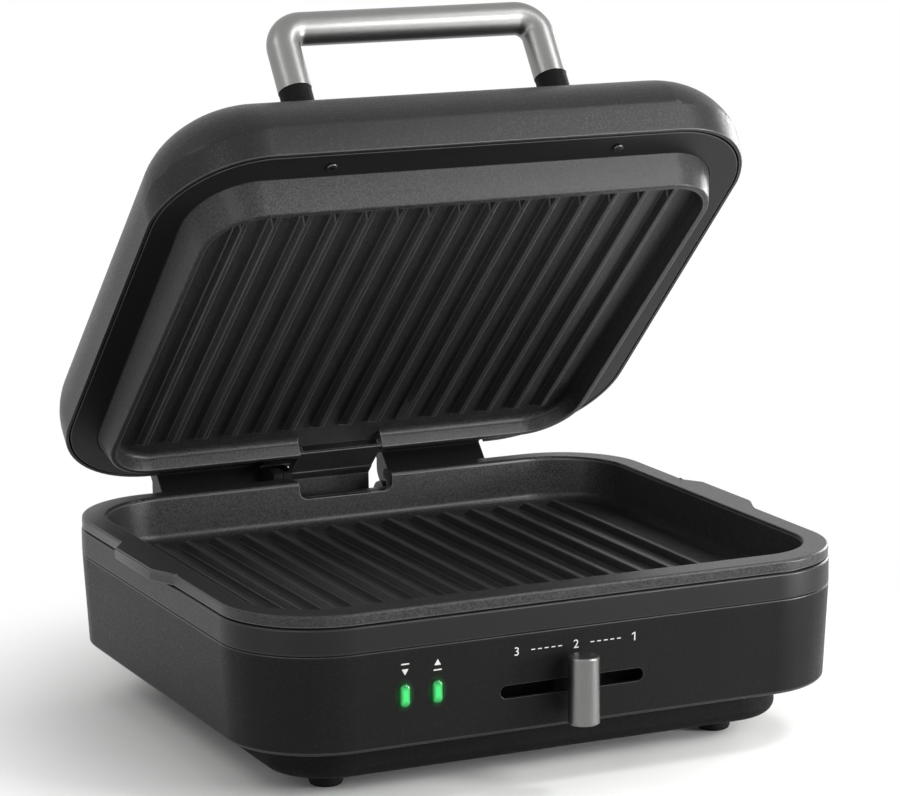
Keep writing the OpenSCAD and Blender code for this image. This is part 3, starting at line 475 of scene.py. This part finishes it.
def soften(piece, width, name):
    """The rounds take the second finish: a little lighter, as rubbed by use, and a painted highlight."""
    main = finishes[name]
    piece.data.materials.clear()
    piece.data.materials.append(main)
    piece.data.materials.append(edge_wear_and_highlight_finishes.get(main, main))
    bevel = piece.modifiers.new("soft edges", "BEVEL")
    bevel.width = width
    bevel.segments = 2
    bevel.material = 1
    bevel.limit_method = "ANGLE"
    bevel.angle_limit = round_over
    bevel.use_clamp_overlap = False
    keep = piece.modifiers.new("never proud", "SHRINKWRAP")
    keep.target = nodes[name]
    keep.wrap_mode = "INSIDE"
    apply_all(piece)
    bpy.ops.object.shade_smooth_by_angle(angle=smooth_under)
    even = piece.modifiers.new("even shading", "WEIGHTED_NORMAL")
    even.keep_sharp = True
    apply_all(piece)


def stand_for(piece, name):
    """The piece takes the solid's place, body and, if it has none yet, finish."""
    if not piece.data.materials or piece.data.materials[0] != finishes[name]:
        piece.data.materials.clear()
        piece.data.materials.append(finishes[name])
    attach(piece, node_body[name])
    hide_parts(name)


# %% Soften nineteen solids, with each round's width in millimetres
# Each face finish has a lighter one for its rounds: wear, and a painted highlight.
edge_wear_and_highlight_finishes = {housing_plastic: housing_edge_wear_and_highlight, lid_plastic: lid_edge_wear_and_highlight,
                 band_plastic: housing_edge_wear_and_highlight, arm_plastic: housing_edge_wear_and_highlight,
                 frame_paint: frame_edge_wear_and_highlight, upper_coat: coat_edge_wear_and_highlight, lower_coat: coat_edge_wear_and_highlight}
soft_widths = {
    "base_shell": 0.5, "trim_band": 0.4, "underbody": 0.6, "feet": 1.2, "lower_pan": 0.5,
    "slide_knob": 0.35, "hinge_bracket_left": 0.8, "hinge_bracket_right": 0.8,
    "lead_guard": 0.5, "cup_shelf": 0.4, "drip_cup": 0.4, "lid_shell": 0.5,
    "lid_frame": 0.4, "upper_plate": 0.5, "hinge_arm_left": 0.8, "hinge_arm_right": 0.8,
    "ferrule_left": 0.4, "ferrule_right": 0.4, "cord_gland": 0.4,
}
for name, width in soft_widths.items():
    piece = merged_copy(name, "soft_" + name)
    soften(piece, width * MM, name)
    stand_for(piece, name)
    print(piece.name, len(piece.data.polygons), "faces")

# %% [markdown]
# On the upper plate the ribs run on at the front until they meet the raised rim.
# Each run-in is a bar with the rib's own section: a cube whose crest side is scaled
# to the crest's width. A ray shot along the rib gives the distance to the rim, so
# the bars by the rounded corners come out shorter. Each starts inside the solid
# rib and ends inside the rim, and they are joined into one piece.

# %% Ribs' run-ins at the rim
rib_foot = 7 * MM
run_in_height = 4.7 * MM
ray_start = 9.5 * MM  # from the rib's end, clear of its taper
into_rib, into_rim = 2 * MM, 1 * MM


def run_in(x):
    start = Vector((x, rib_front.y, rib_front.z))
    aim = lid_turn @ Vector((0, -1, 0))
    from_here = hinge + lid_turn @ (start + Vector((0, -ray_start, 1 * MM)))
    _, rim, _, _ = bpy.data.objects["soft_upper_plate"].ray_cast(from_here, aim)
    length = (rim - from_here).length + ray_start + into_rib + into_rim
    bpy.ops.object.select_all(action="DESELECT")
    bpy.ops.mesh.primitive_cube_add(size=1, location=(0, 0, 0))
    rib = bpy.context.object
    rib.scale = (rib_foot, length, run_in_height)
    bpy.ops.object.transform_apply(location=True, rotation=True, scale=True)
    for face in rib.data.polygons:
        face.select = face.normal.z < -0.9
    bpy.ops.object.mode_set(mode="EDIT")
    bpy.ops.mesh.select_mode(type="FACE")
    bpy.ops.transform.resize(value=(rib_crest / rib_foot, 1, 1))
    bpy.ops.object.mode_set(mode="OBJECT")
    for step in (Matrix.Translation((0, into_rib - length / 2, run_in_height / 2)),
                 Matrix.Rotation(math.atan(rib_slope), 4, "X"),
                 Matrix.Translation(start), lid_turn.to_4x4(), Matrix.Translation(hinge)):
        rib.data.transform(step)
    return rib


# %% Fifteen run-ins, joined
run_ins = [run_in(i * rib_pitch) for i in range(-7, 8)]
bpy.ops.object.select_all(action="DESELECT")
for rib in run_ins:
    rib.select_set(True)
bpy.context.view_layer.objects.active = run_ins[0]
bpy.ops.object.join()
ribs = bpy.context.object
ribs.name = "rib_run_ins"
ribs.data.materials.append(upper_coat)
# The run-ins' rounds take the lighter edge finish: wear, and a painted highlight.
ribs.data.materials.append(coat_edge_wear_and_highlight)
round_off = ribs.modifiers.new("soft edges", "BEVEL")
round_off.width = 0.5 * MM
round_off.segments = 2
round_off.material = 1
apply_all(ribs)
bpy.ops.object.shade_smooth_by_angle(angle=smooth_under)
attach(ribs, "lid")
print(ribs.name, len(ribs.data.polygons), "faces")

# %% [markdown]
# The leads pass from the base to the lid beside the left hinge. On the base a rubber
# cheek fills the space between the lead guard and the hinge arm. On the lid a curved
# cover lies over the guard: it is an arc about the hinge's axis, so it slides round
# the guard at every angle of the lid. The arc is one upright face that is spun about
# that axis in edit mode. The cheek starts as a cylinder about the same axis, and
# three bisect cuts leave its round top.

# %% Lead cover and cheek
guard_low, guard_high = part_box("lead_guard")
arm_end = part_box("hinge_arm_left")[1].x
guard_radius = guard_high.z - hinge.z
cover_end = -15 * MM
cover_arc = (math.radians(9), math.radians(36.5))  # from upright towards the back
cheek_bottom = hinge.z + 10.6 * MM  # just above the bracket's knuckle


def rounded(piece, finish, body):
    piece.data.materials.append(finish)
    corners = piece.modifiers.new("soft edges", "BEVEL")
    corners.width = 0.4 * MM
    corners.segments = 2
    corners.angle_limit = round_over
    apply_all(piece)
    bpy.ops.object.shade_smooth_by_angle(angle=smooth_under)
    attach(piece, body)
    print(piece.name, len(piece.data.polygons), "faces, y",
          round(min(v.co.y for v in piece.data.vertices), 4), "to",
          round(max(v.co.y for v in piece.data.vertices), 4))


# %% The curved cover
def lead_cover(right, inner, outer, first, last):
    bpy.ops.object.select_all(action="DESELECT")
    bpy.ops.mesh.primitive_plane_add(size=1, location=(0, 0, 0))
    cover = bpy.context.object
    cover.name = "lead_cover"
    cover.scale = (right - arm_end, outer - inner, 1)
    cover.rotation_euler = (math.pi / 2, 0, 0)
    cover.location = ((right + arm_end) / 2, 0, (inner + outer) / 2)
    bpy.ops.object.transform_apply(location=True, rotation=True, scale=True)
    cover.data.transform(Matrix.Rotation(-first, 4, "X"))
    cover.data.transform(Matrix.Translation(hinge))
    bpy.ops.object.mode_set(mode="EDIT")
    bpy.ops.mesh.select_all(action="SELECT")
    bpy.ops.mesh.spin(steps=12, angle=last - first, center=hinge, axis=(1, 0, 0))
    bpy.ops.mesh.select_all(action="SELECT")
    bpy.ops.mesh.normals_make_consistent(inside=False)
    bpy.ops.object.mode_set(mode="OBJECT")
    return cover


# %% The cheek
def lead_cheek(left, right, radius):
    bpy.ops.object.select_all(action="DESELECT")
    bpy.ops.mesh.primitive_cylinder_add(
        vertices=96, radius=radius, depth=right - left, rotation=(0, math.pi / 2, 0),
        location=((left + right) / 2, hinge.y, hinge.z))
    cheek = bpy.context.object
    cheek.name = "lead_cheek"
    bpy.ops.object.transform_apply(location=True, rotation=True, scale=True)
    bpy.ops.object.mode_set(mode="EDIT")
    for place, away in (((0, guard_low.y + 0.3 * MM, 0), (0, -1, 0)),
                        ((0, guard_high.y - 0.3 * MM, 0), (0, 1, 0)),
                        ((0, 0, cheek_bottom), (0, 0, -1))):
        bpy.ops.mesh.select_all(action="SELECT")
        bpy.ops.mesh.bisect(plane_co=place, plane_no=away, use_fill=True, clear_outer=True)
    bpy.ops.object.mode_set(mode="OBJECT")
    return cheek


# %% Make the cover and the cheek
rounded(lead_cover(cover_end, guard_radius + 0.4 * MM, guard_radius + 4 * MM, *cover_arc),
        rubber, "lid")
rounded(lead_cheek(arm_end + 0.4 * MM, guard_low.x, guard_radius - 0.2 * MM),
        rubber, "base")

# %% [markdown]
# The screws that can be seen have domed heads with a cross recess. The head is
# rounded with a wide bevel, and the recess is cut with two crossed bars through a
# Boolean modifier. The heads lie at the end of each screw that faces out, so their
# middles come from the solid's own points.

# %% Screw heads with a cross recess
cross_size = (3.4 * MM, 0.816 * MM, 1.6 * MM)
head_round = 0.9 * MM


def cross_cutter(place, facing):
    arms = []
    for quarter in (0, 1):
        bpy.ops.mesh.primitive_cube_add(size=1, location=(0, 0, 0))
        arm = bpy.context.object
        arm.scale = cross_size
        arm.rotation_euler = (0, 0, quarter * math.pi / 2)
        bpy.ops.object.transform_apply(location=False, rotation=True, scale=True)
        arms.append(arm)
    bpy.ops.object.select_all(action="DESELECT")
    for arm in arms:
        arm.select_set(True)
    bpy.ops.object.join()
    cutter = bpy.context.object
    cutter.rotation_euler = facing.to_track_quat("Z", "Y").to_euler()
    cutter.location = place
    bpy.ops.object.transform_apply(location=True, rotation=True, scale=True)
    return cutter


# %% Domed heads with the recess cut in
def recessed_screws(name, facing):
    piece = merged_copy(name, "cross_" + name)
    ends = {}
    for v in piece.data.vertices:
        ends.setdefault((v.co.x > 0, v.co.y > middle_y), []).append(v.co)
    heads = []
    for points in ends.values():
        far = max(p.dot(facing) for p in points)
        rim = [p for p in points if p.dot(facing) > far - 0.05 * MM]
        heads.append(sum(rim, Vector()) / len(rim))
    dome = piece.modifiers.new("domed head", "BEVEL")
    dome.width = head_round
    dome.segments = 4
    dome.limit_method = "ANGLE"
    dome.angle_limit = math.radians(60)
    apply_all(piece)
    for place in heads:
        cutter = cross_cutter(place, facing)
        cut = piece.modifiers.new("cross recess", "BOOLEAN")
        cut.operation = "DIFFERENCE"
        cut.object = cutter
        cut.use_self = True
        apply_all(piece)
        bpy.data.objects.remove(cutter)
    take_only(piece)
    bpy.ops.object.shade_smooth_by_angle(angle=math.radians(35))
    stand_for(piece, name)
    print(piece.name, len(heads), "heads", len(piece.data.polygons), "faces")


recessed_screws("lid_screws", lid_down)
recessed_screws("underbody_screws", Vector((0, 0, -1)))

# %% [markdown]
# Each indicator is a domed lens in a thin black bezel. The lens starts as a block
# at the solid's size, whose four long edges are rounded into a capsule. Its front
# is then extruded three times, each time a little further out and a little smaller,
# which makes the dome. The bezel is the same capsule's wall, thickened and softened.

# %% A block with its long edges rounded
def face_front(piece):
    """Selects the face that looks straight forward, in edit mode."""
    bpy.ops.mesh.select_all(action="DESELECT")
    bpy.ops.object.mode_set(mode="OBJECT")
    for face in piece.data.polygons:
        face.select = face.normal.y < -0.99
    bpy.ops.object.mode_set(mode="EDIT")


def capsule(name, low, high, radius):
    bpy.ops.object.select_all(action="DESELECT")
    bpy.ops.mesh.primitive_cube_add(size=1, location=(low + high) / 2)
    piece = bpy.context.object
    piece.name = name
    piece.scale = high - low
    bpy.ops.object.transform_apply(location=True, rotation=True, scale=True)
    bpy.ops.object.mode_set(mode="EDIT")
    bpy.ops.mesh.select_mode(type="EDGE")
    bpy.ops.mesh.select_all(action="DESELECT")
    bpy.ops.object.mode_set(mode="OBJECT")
    for edge in piece.data.edges:
        a, b = (piece.data.vertices[i].co for i in edge.vertices)
        edge.select = abs((a - b).y) > 0.9 * (high - low).y
    bpy.ops.object.mode_set(mode="EDIT")
    bpy.ops.mesh.bevel(offset=radius, segments=8, affect="EDGES")
    bpy.ops.mesh.select_mode(type="FACE")
    bpy.ops.object.mode_set(mode="OBJECT")
    return piece


# %% Lens domes and bezels
dome_steps = ((0.35, 0.35), (0.60, 0.28), (0.80, 0.14))  # inwards and out, in mm
bezel_wall = 0.72 * MM
for name in ("lens_left", "lens_right"):
    low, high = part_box(name)
    lens = capsule("dome_" + name, low, high, (high.x - low.x) * 0.47)
    bpy.ops.object.mode_set(mode="EDIT")
    face_front(lens)
    size = high - low
    for inset, out in dome_steps:
        bpy.ops.mesh.extrude_region_move(
            TRANSFORM_OT_translate={"value": (0, -out * MM, 0)})
        bpy.ops.transform.resize(value=(1 - 2 * inset * MM / size.x, 1,
                                        1 - 2 * inset * MM / size.z))
        size -= Vector((2, 0, 2)) * inset * MM
    bpy.ops.object.mode_set(mode="OBJECT")
    bpy.ops.object.shade_smooth_by_angle(angle=math.radians(60))
    stand_for(lens, name)

    rim = Vector((0.75, 0, 0.75)) * MM
    front = Vector((low.x, low.y - 0.15 * MM, low.z)) - rim
    back = Vector((high.x, low.y + 1.9 * MM, high.z)) + rim
    bezel = capsule("bezel_" + name, front, back, (high.x - low.x) * 0.47 + 0.7 * MM)
    for face in bezel.data.polygons:
        face.select = abs(face.normal.y) > 0.99
    bpy.ops.object.mode_set(mode="EDIT")
    bpy.ops.mesh.delete(type="FACE")
    bpy.ops.object.mode_set(mode="OBJECT")
    wall = bezel.modifiers.new("ring", "SOLIDIFY")
    wall.thickness = bezel_wall
    wall.offset = -1
    edge = bezel.modifiers.new("round", "BEVEL")
    edge.width = 0.22 * MM
    edge.segments = 3
    apply_all(bezel)
    bpy.ops.object.shade_smooth_by_angle(angle=math.radians(50))
    # The bezel takes the housing plastic, with its painted green glow.
    bezel.data.materials.append(housing_plastic)
    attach(bezel, "base")
    print(lens.name, len(lens.data.polygons), bezel.name, len(bezel.data.polygons))

# %% [markdown]
# The heat scale over the slide and the two signs over the lamps are printed on the
# panel. Print has next to no thickness, so each mark is a flat shape that is
# extruded by a few hundredths of a millimetre and laid on the wall, which leans in
# a little towards the bottom. A ray shot at the wall gives its place and lean. The
# scale is plain numbers with dashes between them. A triangle and a bar say upper
# plate and lower plate.

# %% Marks that lie on the wall
ink_height = 0.08 * MM


def on_wall(x, z):
    _, place, normal, _ = bpy.data.objects["soft_base_shell"].ray_cast(
        Vector((x, housing_low.y - 0.05, z)), Vector((0, 1, 0)))
    return place, math.atan2(-normal.z, -normal.y)


def lay_on_wall(mark, x, z):
    """Turns a flat mark upright, leans it with the wall and puts it there."""
    place, lean = on_wall(x, z)
    mark.rotation_euler = (math.pi / 2 + lean, 0, 0)
    mark.location = place + Vector((0, -ink_height / 2, 0))
    take_only(mark)
    bpy.ops.object.transform_apply(location=True, rotation=True, scale=True)
    return mark


def thicken(mark):
    take_only(mark)
    bpy.ops.object.mode_set(mode="EDIT")
    bpy.ops.mesh.select_all(action="SELECT")
    bpy.ops.mesh.extrude_region_move(TRANSFORM_OT_translate={"value": (0, 0, ink_height)})
    bpy.ops.mesh.select_all(action="SELECT")
    bpy.ops.transform.translate(value=(0, 0, -ink_height / 2))
    bpy.ops.mesh.normals_make_consistent(inside=False)
    bpy.ops.object.mode_set(mode="OBJECT")
    return mark


# %% Numbers, bars and triangles
def number(digit, x, z, height):
    bpy.ops.object.select_all(action="DESELECT")
    bpy.ops.object.text_add(location=(0, 0, 0))
    text = bpy.context.object
    text.data.body = digit
    text.data.extrude = 0.004
    bpy.ops.object.convert(target="MESH")
    mark = bpy.context.object
    tall = mark.dimensions.y
    points = [v.co for v in mark.data.vertices]
    middle = Vector(((max(p.x for p in points) + min(p.x for p in points)) / 2,
                     (max(p.y for p in points) + min(p.y for p in points)) / 2, 0))
    for p in points:
        p -= middle
    mark.scale = (height / tall, height / tall, 0.01)
    bpy.ops.object.transform_apply(location=True, rotation=True, scale=True)
    return lay_on_wall(mark, x, z)


def bar(x, z, length, height, slant=0.0):
    bpy.ops.object.select_all(action="DESELECT")
    bpy.ops.mesh.primitive_plane_add(size=1, location=(0, 0, 0))
    mark = bpy.context.object
    mark.scale = (length, height, 1)
    mark.rotation_euler = (0, 0, slant)
    bpy.ops.object.transform_apply(location=True, rotation=True, scale=True)
    bpy.ops.object.mode_set(mode="EDIT")
    bpy.ops.mesh.select_all(action="SELECT")
    bpy.ops.mesh.bevel(offset=height * 0.3, segments=2, affect="VERTICES")
    bpy.ops.object.mode_set(mode="OBJECT")
    return lay_on_wall(thicken(mark), x, z)


def triangle(x, z, side, points_up):
    bpy.ops.object.select_all(action="DESELECT")
    bpy.ops.mesh.primitive_circle_add(vertices=3, radius=side / math.sqrt(3),
                                      fill_type="NGON", location=(0, 0, 0))
    mark = bpy.context.object
    mark.rotation_euler = (0, 0, 0 if points_up else math.pi)
    bpy.ops.object.transform_apply(location=True, rotation=True, scale=True)
    bpy.ops.object.mode_set(mode="EDIT")
    bpy.ops.mesh.select_all(action="SELECT")
    bpy.ops.mesh.bevel(offset=side * 0.05, segments=2, affect="VERTICES")
    bpy.ops.object.mode_set(mode="OBJECT")
    return lay_on_wall(thicken(mark), x, z)


def join(marks, name):
    bpy.ops.object.select_all(action="DESELECT")
    for mark in marks:
        mark.select_set(True)
    bpy.context.view_layer.objects.active = marks[0]
    bpy.ops.object.join()
    piece = bpy.context.object
    piece.name = name
    piece.data.materials.clear()
    piece.data.materials.append(print_ink)
    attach(piece, "base")
    print(name, len(piece.data.polygons), "faces")


# %% Lay out the scale and the signs
scale_z = 76 * MM
digit_height = 4.6 * MM
dash, dash_pitch, dash_height = 2.3 * MM, 3.9 * MM, 0.55 * MM
marks = [number(digit, x * MM, scale_z, digit_height)
         for digit, x in (("3", -33), ("2", 1.5), ("1", 36))]
flag_of_one = bar(34.9 * MM, scale_z + 1.55 * MM, 1.5 * MM, 0.5 * MM, math.radians(38))
marks += [flag_of_one]
marks += [bar(start * MM + dash_pitch * i, scale_z, dash, dash_height)
          for start in (-23.5, 11) for i in range(5)]
join(marks, "heat_scale")

left_x, right_x = (place.x for place in lamp_places)
side, sign_bar = 3.8 * MM, (4.6 * MM, 0.75 * MM)
signs = [triangle(left_x, 73.2 * MM, side, False), bar(left_x, 77.0 * MM, *sign_bar),
         triangle(right_x, 75.4 * MM, side, True), bar(right_x, 71.8 * MM, *sign_bar)]
join(signs, "plate_signs")

# %% [markdown]
# The grill stands on a plain pale floor. Near the grill the floor is a matt
# surface that takes its shadow, and further out it fades into the same white that
# the camera sees beyond it, so no horizon shows.

# %% Floor
floor_radius = 6.0
fade_middle, fade_start, fade_end = (0.03, 0, 0), 0.20, 0.38
bpy.ops.object.select_all(action="DESELECT")
bpy.ops.mesh.primitive_circle_add(vertices=96, radius=floor_radius, fill_type="NGON",
                                  location=(0, 0, 0))
floor = bpy.context.object
floor.name = "floor"


def floor_finish():
    f = Finish("pale floor", Roughness=0.9, Specular_IOR_Level=0.1)
    f.set("Base Color", (0.93, 0.93, 0.92, 1))
    far = f.node("ShaderNodeVectorMath", {"operation": "LENGTH"},
                 {0: f.place(fade_middle)}, "Value")
    fade = far.between(fade_start, fade_end)
    seen = f.node("ShaderNodeLightPath", output="Is Camera Ray")
    glossy = f.node("ShaderNodeLightPath", output="Is Glossy Ray")
    through = f.node("ShaderNodeLightPath", output="Is Transmission Ray")
    rays = seen.math("MAXIMUM", seen.math("MAXIMUM", seen, glossy), through)
    white = f.node("ShaderNodeEmission", None, {"Color": (1, 1, 1, 1), "Strength": 1.0})
    plain = Value(f, f.shader.outputs[0])
    both = f.node("ShaderNodeMixShader", None, {0: fade * rays, 1: plain, 2: white})
    f.feed(f.tree.nodes["Material Output"].inputs["Surface"], both)
    return f.material


floor.data.materials.append(floor_finish())
print("floor radius", floor_radius, "fades from", fade_start, "to", fade_end)

# %% [markdown]
# Soft studio light from seven small panels. The key panel at the front right lights
# the faces and the raised rims. The top panel lights the lid's front, and the right
# and the low right ones lift the near corner and the knob. The three at the left
# are weak: they give the steel its second gleam and keep the left side readable.
# A black object shows its lights as gleams, so a panel's size and place matter as
# much as its power. Around them is an even white surround.

# %% Lights and surround
def panel(name, place, aim, width, height, power):
    bpy.ops.object.light_add(type="AREA", location=place)
    lamp = bpy.context.object
    lamp.name = name
    lamp.data.shape = "RECTANGLE"
    lamp.data.size = width
    lamp.data.size_y = height
    lamp.data.energy = power
    direction = Vector(aim) - Vector(place)
    lamp.rotation_euler = direction.to_track_quat("-Z", "Y").to_euler()
    print(name, power, "W")


panel("key_panel", (0.86, -1.22, 0.83), (0, 0, 0.2), 0.46, 0.46, 14.2)
panel("top_panel", (0.70, -0.42, 1.08), (0.08, 0, 0.25), 0.28, 0.28, 3.9)
panel("right_panel", (1.25, 0.50, 0.36), (0, 0, 0.12), 0.50, 0.50, 9.0)
panel("low_right_panel", (0.87, -0.68, 0.15), (0, 0, 0.08), 0.28, 0.24, 10.0)
panel("low_left_panel", (-1.09, -0.51, 0.20), (0, 0, 0.08), 0.22, 0.30, 1.2)
panel("left_panel", (-1.05, -1.10, 0.95), (0, 0, 0.10), 0.40, 0.40, 2.8)
panel("left_top_panel", (-1.10, 0.05, 1.25), (-0.1, 0, 0.25), 0.36, 0.36, 2.2)

world = bpy.data.worlds.new("studio")
bpy.context.scene.world = world
world.use_nodes = True
tree = world.node_tree
surround = tree.nodes["Background"]
surround.inputs["Color"].default_value = (1, 1, 1, 1)
surround.inputs["Strength"].default_value = 0.50
white = tree.nodes.new("ShaderNodeBackground")
white.inputs["Color"].default_value = (1, 1, 1, 1)
path = tree.nodes.new("ShaderNodeLightPath")
seen = tree.nodes.new("ShaderNodeMath")
seen.operation = "MAXIMUM"
rays = tree.nodes.new("ShaderNodeMath")
rays.operation = "MAXIMUM"
mix = tree.nodes.new("ShaderNodeMixShader")
tree.links.new(path.outputs["Is Camera Ray"], seen.inputs[0])
tree.links.new(path.outputs["Is Glossy Ray"], seen.inputs[1])
tree.links.new(seen.outputs[0], rays.inputs[0])
tree.links.new(path.outputs["Is Transmission Ray"], rays.inputs[1])
tree.links.new(rays.outputs[0], mix.inputs[0])
tree.links.new(surround.outputs[0], mix.inputs[1])
tree.links.new(white.outputs[0], mix.inputs[2])
tree.links.new(mix.outputs[0], tree.nodes["World Output"].inputs["Surface"])
bpy.context.scene.view_settings.view_transform = "Standard"

# %% [markdown]
# The camera stands at the front left, a little above the open lid's middle, with
# a long lens.

# %% Camera
azimuth = math.radians(-24.59)
elevation = math.radians(10.95)
roll = math.radians(-0.61)
focal_pixels, image_width = 3517.2, 900
bpy.ops.object.camera_add(location=(-0.7980, -1.7499 + middle_y, 0.5519))
camera = bpy.context.object
back = Vector((math.sin(azimuth) * math.cos(elevation),
               -math.cos(azimuth) * math.cos(elevation), math.sin(elevation)))
right = Vector((math.cos(azimuth), math.sin(azimuth), 0.0))
up = back.cross(right)
right_turned = math.cos(roll) * right + math.sin(roll) * up
up_turned = -math.sin(roll) * right + math.cos(roll) * up
camera.rotation_euler = Matrix((right_turned, up_turned, back)).transposed().to_euler()
camera.data.sensor_width = 36.0
camera.data.lens = focal_pixels / image_width * camera.data.sensor_width
camera.data.dof.use_dof = False
bpy.context.scene.camera = camera
print("camera", [round(v, 4) for v in camera.location], "lens", round(camera.data.lens, 2))
